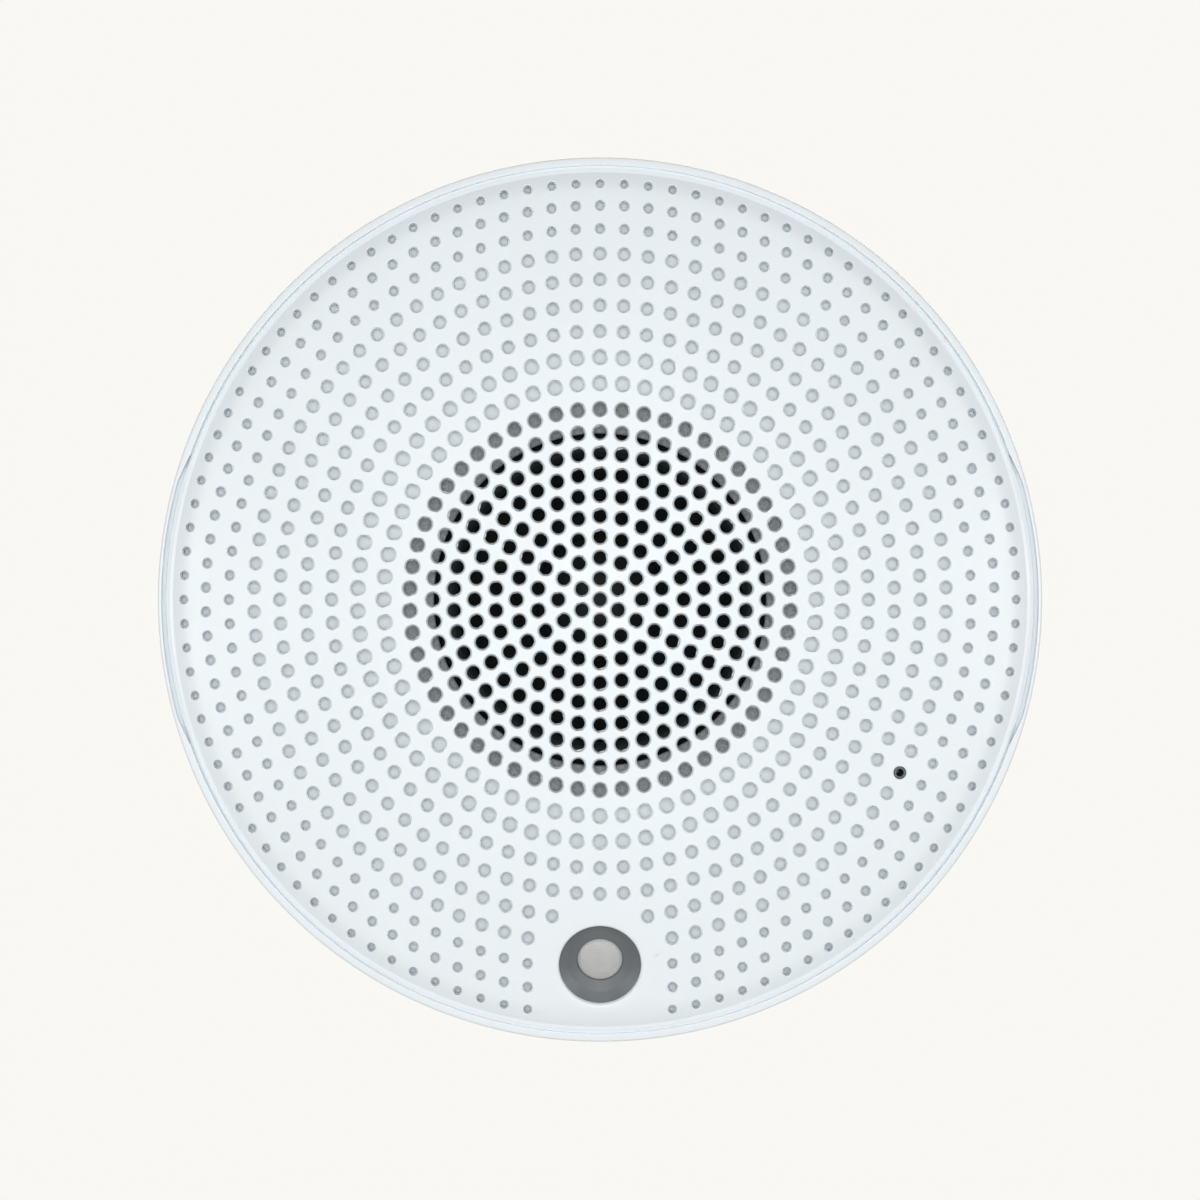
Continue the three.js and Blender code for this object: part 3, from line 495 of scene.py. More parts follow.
def pulp(surface, colour, roughness, fibre=0.5):
    """Pressed paper: short fibres in every direction, in clumps of several fibres."""
    fibres = surface.noise(fibre, 6, FIBROUS)
    clumps = surface.spread(surface.noise(8 * fibre, 4), 0, 1)
    rough = surface.spread(fibres, roughness - 0.1, roughness + 0.1)
    surface.dress(surface.tones(clumps, colour, 0.75, 1.3), rough, fibres, 0.06)


def cloth_with_painted_shade(surface, colour, shaded_colour, start, end):
    """Coated cloth, darker away from the middle: painted shade where the dome turns from the light, with a
    ragged edge.
    """
    fibres = surface.noise(0.3, 6, FIBROUS)
    # Noise moves the edge of the painted shade in and out by up to 0.6 mm.
    shade_edge_wobble = surface.join("MULTIPLY", surface.spread(surface.noise(1.6, 3), -1, 1), 0.6 * MM)
    painted_shade = surface.spread(surface.join("ADD", surface.off_axis(), shade_edge_wobble), 0, 1, start * MM, end * MM)
    body = surface.blend(painted_shade, colour, colour_of(*shaded_colour))
    surface.dress(body, surface.spread(fibres, 0.48, 0.66), fibres, 0.05)


def woven(surface, colour, pitch):
    """A resin-dipped weave: two crossing sets of threads, stained in patches."""
    threads = surface.join("MAXIMUM", surface.wave(pitch, "X"), surface.wave(pitch, "Z"))
    stain = surface.spread(surface.noise(5, 4), 0, 0.4)
    body = surface.blend(stain, surface.tones(threads, colour, 0.45, 1.15), shade(colour, 0.6))
    surface.dress(body, surface.spread(threads, 0.75, 0.55, 0, 1), threads, 0.08)


def rubber(surface, colour, roughness):
    """Rubber: fine blast texture and a pale bloom in patches."""
    bloom = surface.spread(surface.noise(7, 5), 0, 0.35, 0.45, 0.75)
    rough = surface.spread(surface.noise(2, 4), roughness - 0.06, roughness + 0.1)
    surface.dress(surface.tones(bloom, colour, 1, 2.2), rough, surface.noise(0.25, 3), 0.02)


def winding(surface, colour):
    """Enamelled wire wound along the axis."""
    turns = surface.wave(0.25, "Y", 0.1)
    rough = surface.spread(turns, 0.5, 0.3, 0, 1)
    surface.dress(surface.tones(turns, colour, 0.5, 1), rough, turns, 0.08)
    surface.set("Metallic", 0.7)


def laminate(surface, colour, roughness):
    """Board laminate: a faint glass weave under the mask, with copper showing as lighter traces."""
    weave = surface.join("ADD", surface.wave(0.9, "X", 0.2), surface.wave(0.9, "Z", 0.2))
    traces = surface.spread(surface.cells(3.2), 0, 1, 0.25, 0.3)
    rough = surface.spread(weave, roughness - 0.08, roughness + 0.08, 0, 2)
    surface.dress(surface.tones(traces, colour, 1.5, 1), rough, weave, 0.02)


def clear(surface, colour, roughness):
    """Clear moulded plastic with faint flow lines."""
    flow = surface.noise(1.2, 3, FLOWING)
    body = surface.tones(surface.spread(flow, 0, 1), colour, 0.94, 1)
    surface.dress(body, surface.spread(flow, roughness, roughness + 0.1), flow, 0.01)
    surface.set("Transmission Weight", 0.85)


def lens_plastic(surface, colour):
    """Milky polyethylene: a grid of fine ridges and light that spreads inside."""
    ridges = surface.join("MAXIMUM", surface.wave(0.55, "X", 0.0), surface.wave(0.55, "Z", 0.0))
    body = surface.tones(surface.spread(surface.noise(2, 3), 0, 1), colour, 0.96, 1.03)
    surface.dress(body, surface.spread(ridges, 0.32, 0.48, 0, 1), ridges, 0.03)
    surface.set("Subsurface Weight", 0.3)
    surface.set("Subsurface Scale", MM)


# Each finish has a recipe, the sRGB levels of its colour, and the recipe's other settings.
FINISHES = {
    "shell_white": (moulded, (240, 246, 249), {"roughness": 0.4, "depth": 0.008, "mottle": 0.008}),
    "inner_white": (moulded, (236, 240, 242), {"roughness": 0.5, "grain": 0.5, "depth": 0.02}),
    "label_grey": (moulded, (222, 224, 226), {"roughness": 0.32, "grain": 0.9, "depth": 0.004}),
    "black_plastic": (moulded, (34, 35, 37), {"roughness": 0.45, "wear": (74, 76, 79)}),
    "sensor_grey": (moulded, (108, 112, 114), {"roughness": 0.45, "depth": 0.01}),
    "capacitor_sleeve": (moulded, (30, 34, 46), {"roughness": 0.25, "depth": 0.004}),
    "wire_red": (moulded, (170, 28, 28), {"roughness": 0.35, "depth": 0.006}),
    "wire_black": (moulded, (30, 30, SMALL), {"roughness": 0.35, "depth": 0.006}),
    "screw_steel": (metal, (196, 198, 200), {"roughness": 0.28}),
    "plated_steel": (metal, (188, 190, 190), {"roughness": 0.36}),
    "jack_steel": (metal, (206, 206, 204), {"roughness": 0.24}),
    "basket_black": (coated, (36, 37, 39), {"roughness": 0.5}),
    "ferrite": (coated, (48, 48, 50), {"roughness": 0.72}),
    "gasket_foam": (foam, (168, 172, 173), {"cell": 0.45, "depth": 0.08}),
    "dark_foam": (foam, (52, 54, 57), {"cell": 0.9}),
    "seal_rubber": (rubber, (36, 36, 38), {"roughness": 0.7}),
    "surround_rubber": (rubber, (54, 58, 59), {"roughness": 0.42}),
    "cone_black": (pulp, (11, 14, 14), {"roughness": 0.8}),
    # The dust cap is painted darker towards its edge, as shade where its dome turns from the light.
    "cap_grey": (cloth_with_painted_shade, (46, 51, 52), {"shaded_colour": (14, 16, 16), "start": 2.4, "end": 5.4}),
    "spider_cloth": (woven, (190, 164, 104), {"pitch": 0.5}),
    "coil_copper": (winding, (214, 138, 96), {}),
    "amber_board": (laminate, (184, 122, 56), {"roughness": 0.45}),
    "circuit_green": (laminate, (26, 104, 62), {"roughness": 0.35}),
    "clear_plastic": (clear, (232, 240, 244), {"roughness": 0.06}),
    "lens_white": (lens_plastic, (192, 192, 191), {}),
}
made_materials = {}


def material_for(slot):
    if slot not in made_materials:
        build, colour, settings = FINISHES[slot]
        surface = Surface(slot)
        build(surface, colour_of(*colour), **settings)
        made_materials[slot] = surface.material
    return made_materials[slot]


# ---- the cover's surface


def dome_z(radius, drop=0.0):
    """The height of the cover's outer surface, less a drop."""
    rolled = max(radius - DOME.roll_radius, 0)
    sphere = DOME.sphere
    return DOME_TOP - sphere + sqrt(sphere**2 - radius**2) - DOME.roll * rolled**2 - drop


def back_z(radius):
    """The height of the cover's inner surface, the thickness away square to the outer one."""
    rolled = max(radius - DOME.roll_radius, 0)
    slope = radius / sqrt(DOME.sphere**2 - radius**2) + 2 * DOME.roll * rolled
    return dome_z(radius) - DOME.thickness * hypot(1, slope)


def on_dome(x, y):
    return Vector((x, y, dome_z(hypot(x, y))))


def ring_radii():
    radii = [0.0]
    for count, pitch in RING_ZONES:
        for _ in range(count):
            radii.append(radii[-1] + pitch)
    return radii


def hole_radius(ring_number):
    return [radius for start, radius in HOLE_RADII if start <= ring_number][-1]


RADII = ring_radii()
LAST_RING = len(RADII) - 1
# The circles between the rings, on which the cells round the holes meet.
BORDERS = [(a + b) / 2 for a, b in zip(RADII, RADII[1:])] + [FIELD_RADIUS]


def rounded_angle(angle):
    return round(angle % 360, 4) % 360


def offset_from(angle, middle):
    """How far an angle lies from another one, from -180 to 180 degrees."""
    return (angle - middle + 180) % 360 - 180


def holes_on(ring_number):
    return max(1, HOLES_PER_RING * ring_number)


def hole_angle(ring_number, index):
    return TOP + 360 * index / holes_on(ring_number)


def cell_corners(ring_number):
    return [rounded_angle(hole_angle(ring_number, index + 0.5)) for index in range(holes_on(ring_number))]


def border_angles(border):
    """Every angle at which a cell of either neighbouring ring has a corner, in order."""
    angles = set()
    for ring_number in (border, border + 1):
        if 0 < ring_number <= LAST_RING:
            angles.update(cell_corners(ring_number))
    if border == 0:
        angles.update(range(0, 360, MIDDLE_STEP))
    if border == LAST_RING:
        angles.update(rounded_angle(360 * step / RIM_SIDES) for step in range(RIM_SIDES))
    return sorted(angles)


class CoverShell:
    """The perforated dome: a front and a back surface made of one cell for each hole."""

    def __init__(self):
        self.shape = Shape()
        self.border_points = {}
        self.angles = [border_angles(border) for border in range(LAST_RING + 1)]

    def point(self, position):
        self.shape.points.append(Vector(position))
        return len(self.shape.points) - 1

    def pair(self, radius, angle):
        """The front and the back point at a place on the dome, made once."""
        key = (round(radius, 4), rounded_angle(angle))
        if key not in self.border_points:
            behind = radius * (1 - DOME.thickness / DOME.sphere)
            back = (*polar(behind, angle), back_z(behind))
            self.border_points[key] = (self.point(on_dome(*polar(radius, angle))), self.point(back))
        return self.border_points[key]

    def arc(self, border, middle, half):
        """The points of a border within half degrees of an angle, in order."""
        near = [(offset_from(angle, middle), angle) for angle in self.angles[border]]
        near = sorted(pair for pair in near if abs(pair[0]) <= half + ANGLE_SLACK)
        return [self.pair(BORDERS[border], angle) for _, angle in near]

    def side(self, ring_number, angle):
        """The points between two neighbours of the outermost ring, from outside in."""
        if ring_number < LAST_RING:
            return []
        outer, inner = BORDERS[ring_number], BORDERS[ring_number - 1]
        shares = [step / ROLL_STEPS for step in range(1, ROLL_STEPS)]
        return [self.pair(outer + (inner - outer) * share, angle) for share in shares]

    def cell(self, ring_number, index):
        """The anticlockwise loop of (front, back) points round one hole."""
        if ring_number == 0:
            return [self.pair(BORDERS[0], angle) for angle in self.angles[0]]
        half = 180 / holes_on(ring_number)
        middle = hole_angle(ring_number, index)
        outer = self.arc(ring_number, middle, half)
        inner = self.arc(ring_number - 1, middle, half)
        left = self.side(ring_number, middle + half)
        right = self.side(ring_number, middle - half)
        return outer + left + inner[::-1] + right[::-1]

    def lace(self, outer, inner, centre, flip=False):
        """Triangles between two anticlockwise loops round a centre."""
        loops = []
        for loop in (outer, inner):
            polar_loop = []
            for index in loop:
                offset = self.shape.points[index] - centre
                polar_loop.append((atan2(offset.y, offset.x), index))
            first = polar_loop.index(min(polar_loop))
            polar_loop = polar_loop[first:] + polar_loop[:first]
            loops.append(polar_loop + [(polar_loop[0][0] + 2 * pi, polar_loop[0][1])])
        a, b = 0, 0
        while a < len(outer) or b < len(inner):
            step_outer = b == len(inner) or (a < len(outer) and loops[0][a + 1][0] <= loops[1][b + 1][0])
            if step_outer:
                face = (loops[0][a][1], loops[0][a + 1][1], loops[1][b][1])
                a += 1
            else:
                face = (loops[0][a][1], loops[1][b + 1][1], loops[1][b][1])
                b += 1
            self.shape.faces.append(face[::-1] if flip else face)

    def strip(self, first, second):
        """Quads between two loops of the same length."""
        for i in range(len(first)):
            j = (i + 1) % len(first)
            self.shape.faces.append((first[i], first[j], second[j], second[i]))

    def hole(self, loop, centre, radius, taper, sides):
        """A round, tapering hole with a small edge, straight back through the cell inside the loop."""
        rows = []
        for reach, depth in ((radius + HOLE.edge, 0), (radius, HOLE.edge), (radius - taper, None)):
            row = []
            for side in range(sides):
                x, y = polar(reach, 360 * side / sides)
                x, y = x + centre[0], y + centre[1]
                away = hypot(x, y)
                z = back_z(away) if depth is None else dome_z(away) - depth
                row.append(self.point((x, y, z)))
            rows.append(row)
        middle = on_dome(*centre)
        self.lace([front for front, _ in loop], rows[0], middle)
        self.strip(rows[0], rows[1])
        self.strip(rows[1], rows[2])
        self.lace([back for _, back in loop], rows[2], middle, flip=True)

    def outline_of(self, loops):
        """The anticlockwise outline round several neighbouring cells."""
        following = {}
        for loop in loops:
            following.update(dict.fromkeys(zip(loop, loop[1:] + loop[:1])))
        edges = {start: end for start, end in following if (end, start) not in following}
        outline = [next(iter(edges))]
        while edges[outline[-1]] != outline[0]:
            outline.append(edges[outline[-1]])
        return outline


def on_motion_bore(radius, angle, depth):
    """The point of the motion sensor's bore that lies depth below the dome's surface."""
    tilt = radians(MOTION.tilt)
    up = Vector((0, cos(tilt), sin(tilt)))
    out = Vector((0, -sin(tilt), cos(tilt)))
    x, y = polar(radius, angle)
    base = on_dome(0, MOTION.y) + Vector((x, 0, 0)) + up * y
    height = 0.0
    for _ in range(SETTLING_STEPS):
        spot = base + out * height
        height += dome_z(hypot(spot.x, spot.y)) - spot.z
    return base + out * (height - depth)


def ray_to_outline(centre, direction, outline):
    """How far a ray runs from the centre to the outline, in front view."""
    best = None
    for i, start in enumerate(outline):
        end = outline[(i + 1) % len(outline)]
        edge = (end - start).to_2d()
        offset = (start - centre).to_2d()
        across = direction.x * edge.y - direction.y * edge.x
        if abs(across) < TINY:
            continue
        distance = (offset.x * edge.y - offset.y * edge.x) / across
        along = (offset.x * direction.y - offset.y * direction.x) / across
        if distance > 0 and -TINY <= along <= 1 + TINY:
            best = distance if best is None else min(best, distance)
    return best


def motion_opening(shell):
    """Builds the opening's walls and returns their first row of points, in front, and the last, behind."""
    edge = MOTION.edge
    levels = []
    for step in range(FINE + 1):
        bend = pi / 2 * step / FINE
        levels.append((MOTION.radius + edge * (1 - sin(bend)), edge * (1 - cos(bend))))
    levels.append((MOTION.radius, MOTION.wall))
    levels.append((MOTION.recess, MOTION.wall))
    levels.append((MOTION.recess, DOME.thickness))
    angles = [360 * side / MOTION.sides for side in range(MOTION.sides)]
    rows = [[shell.point(on_motion_bore(reach, angle, depth)) for angle in angles] for reach, depth in levels]
    for first, second in zip(rows, rows[1:]):
        shell.strip(first, second)
    return rows[0], rows[-1]


def motion_field(shell, outline):
    """The plain part of the cover between the left-out holes' cells and the motion sensor's opening."""
    front_row, back_row = motion_opening(shell)
    centre = on_dome(0, MOTION.y)
    fronts = [front for front, _ in outline]
    edge_points = [shell.shape.points[index] for index in fronts]
    previous = front_row
    for share in FIELD_SHARES:
        row = []
        for index in front_row:
            near = (shell.shape.points[index] - centre).to_2d()
            direction = near.normalized()
            far = ray_to_outline(centre, direction, edge_points)
            spot = centre.to_2d() + direction * (near.length + (far - near.length) * share)
            row.append(shell.point(on_dome(spot.x, spot.y)))
        shell.strip(row, previous)
        previous = row
    shell.lace(fronts, previous, centre)
    shell.lace([back for _, back in outline], back_row, centre, flip=True)


def cover_rim(shell):
    """The cover's edge: it falls off outside the holes, runs down the skirt and back up inside."""
    angles = shell.angles[LAST_RING]
    ends = [shell.pair(FIELD_RADIUS, angle) for angle in angles]
    corners = [shell.shape.points[index] for index in ends[0]]
    start, end = ((hypot(corner.x, corner.y), corner.z, 0) for corner in corners)
    roll = [(radius, dome_z(radius), 0) for radius in ROLL_ENDS]
    rows = [[front for front, _ in ends]]
    for radius, z in fillet([start, *roll, *RIM_PROFILE, end], FINE)[1:-1]:
        rows.append([shell.point((*polar(radius, angle), z)) for angle in angles])
    rows.append([back for _, back in ends])
    for inner, outer in zip(rows, rows[1:]):
        shell.strip(outer, inner)


def is_missing(ring_number, index):
    """Whether a hole is one of those left out for the motion sensor."""
    pitch = 360 / holes_on(ring_number)
    offset = offset_from(hole_angle(ring_number, index), BOTTOM)
    return ring_number in MISSING and abs(offset) <= (MISSING[ring_number] + 0.5) * pitch


def snap_leg(angle):
    return sector(SNAP.inner, SNAP.outer, angle - SNAP.half, angle + SNAP.half, SNAP.z, SNAP.top_z)


def front_cover():
    shell = CoverShell()
    left_out = []
    for ring_number, ring_radius in enumerate(RADII):
        sides = HOLE.outer_sides if ring_number >= HOLE.outer_from else HOLE.sides
        for index in range(holes_on(ring_number)):
            loop = shell.cell(ring_number, index)
            angle = hole_angle(ring_number, index)
            centre = polar(ring_radius, angle)
            if is_missing(ring_number, index):
                left_out.append(loop)
            elif ring_number == MIC.ring and rounded_angle(angle) == MIC.angle:
                shell.hole(loop, centre, MIC.hole, 0, sides)
            else:
                shell.hole(loop, centre, hole_radius(ring_number), HOLE.taper, sides)
    motion_field(shell, shell.outline_of(left_out))
    cover_rim(shell)
    add_piece("front_cover", shell.shape, extras=[snap_leg(angle) for angle in DIAGONALS])


def mic_matrix():
    """Moves a shape that stands along z onto the dome at the microphone."""
    radius = RADII[MIC.ring]
    lean = asin(radius / DOME.sphere)
    x, y = polar(radius, MIC.angle)
    return move_by(x, y, dome_z(radius)) @ turn_by(MIC.angle) @ Matrix.Rotation(lean, 4, "Y")


def mic_port_ring():
    """A sleeve in the microphone's bore, whose ends follow the dome."""
    sleeve = ring(MIC.inner, MIC.outer, -DOME.thickness, -MIC.inset, MIC.edge, SMALL)
    sleeve = sleeve.moved(move_by(*polar(RADII[MIC.ring], MIC.angle)))
    for point in sleeve.points:
        point.z += dome_z(hypot(point.x, point.y))
    add_piece("mic_port_ring", sleeve)


# ---- the sensors behind the cover


def motion_matrix():
    """Moves a shape that stands along z onto the dome at the motion sensor."""
    lean = Matrix.Rotation(radians(MOTION.tilt), 4, "X")
    return move_by(0, MOTION.y, on_dome(0, MOTION.y).z) @ lean


# Side views of the bezel's cup and of the lens, measured outwards from the dome along the axis.
LENS_STEPS = 5
CUP = Sizes(rim=6.9, throat=3.75, throat_z=-2.5)
BEZEL_PROFILE = [
    (7.7, -6.5, 0.2), (7.7, -1.15, 0.15), (CUP.rim, -1.15, 0.2), (5.4, -1.95, 1.2),
    (CUP.throat, CUP.throat_z, 0.15), (CUP.throat, -4.2, 0.2), (5.2, -4.2, 0.2),
    (5.2, -6.5, 0.2),
]
LENS_PROFILE = [
    (0, -1.65, 0), (2.0, -1.75, 1.2), (3.35, -2.15, 0.8), (3.72, -2.65, 0.25),
    (3.72, -4.4, 0.1), (4.9, -4.4, 0.1), (4.9, -5.0, 0.1), (3.2, -5.0, 0.1),
    (2.9, -3.0, 0.8), (1.7, -2.5, 1.0), (0, -2.4, 0),
]


def motion_sensor():
    """The bezel's rim lies along the inside of the cover, which leans less than the sensor's axis."""
    spin = motion_matrix()
    lean = tan(radians(MOTION.tilt) - asin(-MOTION.y / DOME.sphere))
    bezel = lathe(BEZEL_PROFILE, 96, FINE)
    for point in bezel.points:
        share = (hypot(point.x, point.y) - CUP.throat) / (CUP.rim - CUP.throat)
        if point.z > CUP.throat_z:
            point.z -= point.y * lean * min(max(share, 0), 1)
    add_piece("motion_bezel", bezel.moved(spin))
    add_piece("motion_lens", lathe(LENS_PROFILE, 64, LENS_STEPS).moved(spin))


# ---- the baffle and the driver

# The baffle follows the dome behind the cover, on circles from its opening outwards.
BAFFLE = Sizes(gap=0.43, thickness=1.8, opening=33.4, outer=68.7, wall=67, edge_z=32.95, foot_z=27.1)
CIRCLES = Sizes(start=34.6, pitch=2.2, count=15)
BAFFLE_HOLES = Sizes(motion=8.9, motion_depth=18, mic=2.9, mic_depth=12, above=6)
EAR_Z = 37.3
# The bosses behind the baffle stand on the diagonals. Each one's distance from the axis and its foot.
BOSS_RADIUS = 3
HOUSING_SCREW_RADIUS = 63.8
EAR_RADIUS = 38
BOSSES = ((HOUSING_SCREW_RADIUS, 16.3), (EAR_RADIUS, EAR_Z))


def front_baffle():
    b = BAFFLE
    drop = DOME.thickness + b.gap
    circles = [CIRCLES.start + CIRCLES.pitch * step for step in range(CIRCLES.count)]
    front = [(radius, dome_z(radius, drop), 0) for radius in circles]
    back = [(radius, dome_z(radius, drop + b.thickness), 0) for radius in reversed(circles)]
    profile = [
        (b.opening, EAR_Z, 0.3),
        (b.opening, dome_z(b.opening, drop), 0.5),
        *front,
        (b.outer, b.edge_z, 0.8),
        (b.outer, b.foot_z, 0.3),
        (b.wall, b.foot_z, 0.3),
        (b.wall, b.edge_z - b.thickness, 0.4),
        *back,
        (b.opening + b.thickness, EAR_Z, 0.3),
    ]
    h = BAFFLE_HOLES
    motion_hole = disc(h.motion, -h.motion_depth, h.above, 0).moved(motion_matrix())
    mic_hole = disc(h.mic, -h.mic_depth, h.above, 0, SMALL).moved(mic_matrix())
    bosses = []
    for angle in DIAGONALS:
        for radius, foot_z in BOSSES:
            boss = disc(BOSS_RADIUS, foot_z, dome_z(radius, drop + CLEAR), 0.3, SMALL)
            bosses.append(boss.moved(at_polar(radius, angle)))
    add_piece("front_baffle", lathe(profile, 180), [motion_hole, mic_hole], bosses)


SURROUND_TOP = [
    (23.25, 37.75, 0), (23.6, 38.3, 0.4), (24.2, 39.15, 0.7), (25.2, 39.55, 0.9),
    (26.2, 39.15, 0.7), (26.8, 38.2, 0.4), (27.2, 37.6, 0.2), (28.8, 37.55, 0.1),
]
CONE_TOP = [(9.7, 31.9), (12, 32.7), (15, 33.95), (18, 35.3), (21, 36.5), (22.4, 37.05), (22.9, 37.4)]
CAP = Sizes(radius=10.3, foot_z=32.65, rise=3.05, thickness=0.5, steps=10)
SPIDER = Sizes(inner=9.9, outer=17.4, waves=4, height=0.7, z=28.9, foot_outer=19.2)
WAVE_STEPS = 12
# How thick the driver's thin parts are.
THICKNESS = Sizes(surround=0.35, cone=0.5, spider=0.3)
COIL_PROFILE = [
    (8.9, 24.6, 0.1), (9.55, 24.6, 0.1), (9.55, 27.3, 0.1), (9.25, 27.4, 0),
    (9.25, 31.3, 0), (8.9, 31.3, 0),
]
GASKET_PROFILE = [(27.1, 37.7, 0.4), (33.1, 37.7, 0.4), (33.1, 41.6, 0.9), (27.1, 41.6, 0.6)]
FLANGE_Z = (35.8, 37.0)
BASKET_PROFILE = [
    (12, 27.0, 0.2), (20.6, 27.0, 1.2), (28.4, FLANGE_Z[0], 0.6),
    (34.8, FLANGE_Z[0], 0.3), (34.8, FLANGE_Z[1], 0.3), (26.6, FLANGE_Z[1], 0.4),
    (19.4, 28.2, 1.0), (12, 28.2, 0.2),
]
BASKET_WINDOW = Sizes(radius=24, depth=12, width=22, z=29.6, top_z=34.8, corner=2)
EAR = Sizes(bore=1.6, outer=3.4)


def band(line, thickness, sides=144):
    """A thin turned band under a line of (radius, z, rounding) points."""
    lower = [(radius, z - thickness, rounding) for radius, z, rounding in reversed(line)]
    return lathe([*line, *lower], sides)


def driver_cap():
    c = CAP
    sphere = (c.radius**2 + c.rise**2) / (2 * c.rise)
    radii = [c.radius * step / c.steps for step in range(c.steps + 1)]
    line = [(r, c.foot_z + c.rise - sphere + sqrt(sphere**2 - r**2), 0) for r in radii]
    return band(line, c.thickness, 96)


def driver_spider():
    s = SPIDER
    steps = WAVE_STEPS * s.waves
    line = []
    for step in range(steps + 1):
        share = step / steps
        swing = sin(2 * pi * s.waves * share)
        line.append((s.inner + (s.outer - s.inner) * share, s.z + s.height / 2 * swing, 0))
    line.append((s.foot_outer, s.z, 0))
    return band(line, THICKNESS.spider)


def driver_basket():
    """The pressed basket: a bowl with four windows, a flange with a rolled edge, and four ears."""
    w = BASKET_WINDOW
    window = slab(w.depth, w.width, w.z, w.top_z, w.corner, 0)
    windows = [window.moved(at_polar(w.radius, angle)) for angle in QUARTERS]
    ear = ring(EAR.bore, EAR.outer, *FLANGE_Z, 0.2, SMALL)
    ears = [ear.moved(at_polar(EAR_RADIUS, angle)) for angle in DIAGONALS]
    add_piece("driver_basket", lathe(BASKET_PROFILE, 128), windows, ears)


def driver():
    add_piece("driver_gasket", lathe(GASKET_PROFILE, 144, FINE))
    add_piece("driver_surround", band(SURROUND_TOP, THICKNESS.surround))
    add_piece("driver_cone", band([(radius, z, 0) for radius, z in CONE_TOP], THICKNESS.cone))
    add_piece("driver_dust_cap", driver_cap())
    add_piece("driver_spider", driver_spider())
    add_piece("driver_coil", lathe(COIL_PROFILE, 96))
    driver_basket()


# ---- the housing

PLATE = Sizes(z=14, top_z=16)
COLLAR = Sizes(inner=58.4, outer=60.2, z=2.8)
# The radius of the rim's inner edge, next to the cover.
RIM_INNER = 71.3
TUB_PROFILE = [
    (0, PLATE.z, 0), (COLLAR.inner, PLATE.z, 0.5), (COLLAR.inner, COLLAR.z, 0.4),
    (COLLAR.outer, COLLAR.z, 0.4), (COLLAR.outer, PLATE.z, 0.5), (69.5, PLATE.z, 0.6),
    (69.5, WALL_GAP, 0.5), (71.7, WALL_GAP, 0.7), (72.47, 30, 30),
    (OUTER_RADIUS, RIM_Z - 1.25, 0.45), (RIM_INNER, RIM_Z - 0.78, 0.08),
    (RIM_INNER, 33.45, 0), (71.17, 33.35, 0), (71.17, 30, 0.2), (70, 30, 0.2),
    (70, 26, 0.2), (67.2, 26, 0.3), (67.2, 24, 0.3), (70, 22.5, 0.3),
    (70, PLATE.top_z, 0.5), (0, PLATE.top_z, 0),
]
NOTCH = Sizes(angles=(0, 180), half=15.7, ramp=19.4, outer=71.95, inside=70.4, floor=32.5)
NOTCH_STEPS = 24
POCKET = Sizes(half=4, inner=69, outer=71.2, z=26.6, top_z=31, corner=0.2)
LUGS = Sizes(half=9, inner=52.3, outer=59.2, z=3.2, top_z=5.2, corner=0.6, edge=0.4)
RIBS = Sizes(count=12, thickness=1.6, outer=70, z=4, top_z=15, corner=0.2, edge=0.4)
BOARD_BOSS = Sizes(radius=54, angles=(20, 160, 200, 340), bore=1.4, outer=3, z=15, top_z=17.1)
# The control button moves in two sleeves, a narrow one and one round its flange, over a square pocket.
# Each sleeve's bore, foot and top.
BUTTON = Sizes(x=-20, y=-27, outer=5.6, pocket=7.8, pocket_z=12.4)
BUTTON_SLEEVES = ((2.9, 10.4, 12.4), (4.4, 12.1, 14.4))
JACK = Sizes(x=0, y=-27.5, width=16, length=21, gap=0.6, z=3.9, corner=0.5, edge=0.25)
TERMINAL = Sizes(x=20, y=-27, width=15.2, length=9, gap=0.6, z=6.4, corner=0.3, edge=0.3, poles=4)
SOCKET_TOP_Z = 17.3
LIGHT = Sizes(x=-30, y=-27, bore=1.9)
LABEL = Sizes(y=46, width=44, height=16, z=13.6, top_z=13.9, corner=2, edge=0.05)


def pry_notch(angle):
    """A long shallow recess in the rim's inner edge, with ramped ends."""
    n = NOTCH
    shares = [2 * step / NOTCH_STEPS - 1 for step in range(NOTCH_STEPS + 1)]
    arc = [polar(n.outer, angle + n.half * share) for share in shares]
    inner = [polar(n.inside, angle - n.ramp * share) for share in shares]
    ends = [polar(RIM_INNER, angle - n.ramp), polar(RIM_INNER, angle + n.ramp)]
    return prism([ends[0], *arc, ends[1], *inner], n.floor, RIM_Z + CLEAR, 0)


def housing_rib(index):
    start, end = COLLAR.outer - OVERLAP, RIBS.outer
    outline = rectangle(end - start, RIBS.thickness, RIBS.corner)
    rib = prism(outline, RIBS.z, RIBS.top_z, RIBS.edge)
    return rib.moved(at_polar((start + end) / 2, 360 * index / RIBS.count))


def housing_cuts():
    """The notches, screw holes, pockets for the snap legs, and openings for what shows behind."""
    through = (PLATE.z - CLEAR, PLATE.top_z + CLEAR)
    cuts = [pry_notch(angle) for angle in NOTCH.angles]
    p = POCKET
    for angle in DIAGONALS:
        cuts.append(disc(SCREW.hole, *through, 0, SMALL).moved(at_polar(HOUSING_SCREW_RADIUS, angle)))
        ends = (angle - p.half, angle + p.half)
        cuts.append(sector(p.inner, p.outer, *ends, p.z, p.top_z, p.corner, 0))
    for part in (JACK, TERMINAL):
        sides = (part.width + 2 * part.gap, part.length + 2 * part.gap)
        cuts.append(slab(*sides, *through, part.gap, 0).moved(at(part)))
    pocket = slab(BUTTON.pocket, BUTTON.pocket, BUTTON.pocket_z, through[1], 0.3, 0)
    cuts.append(pocket.moved(at(BUTTON)))
    cuts.append(disc(LIGHT.bore, *through, 0, SMALL).moved(at(LIGHT)))
    return cuts


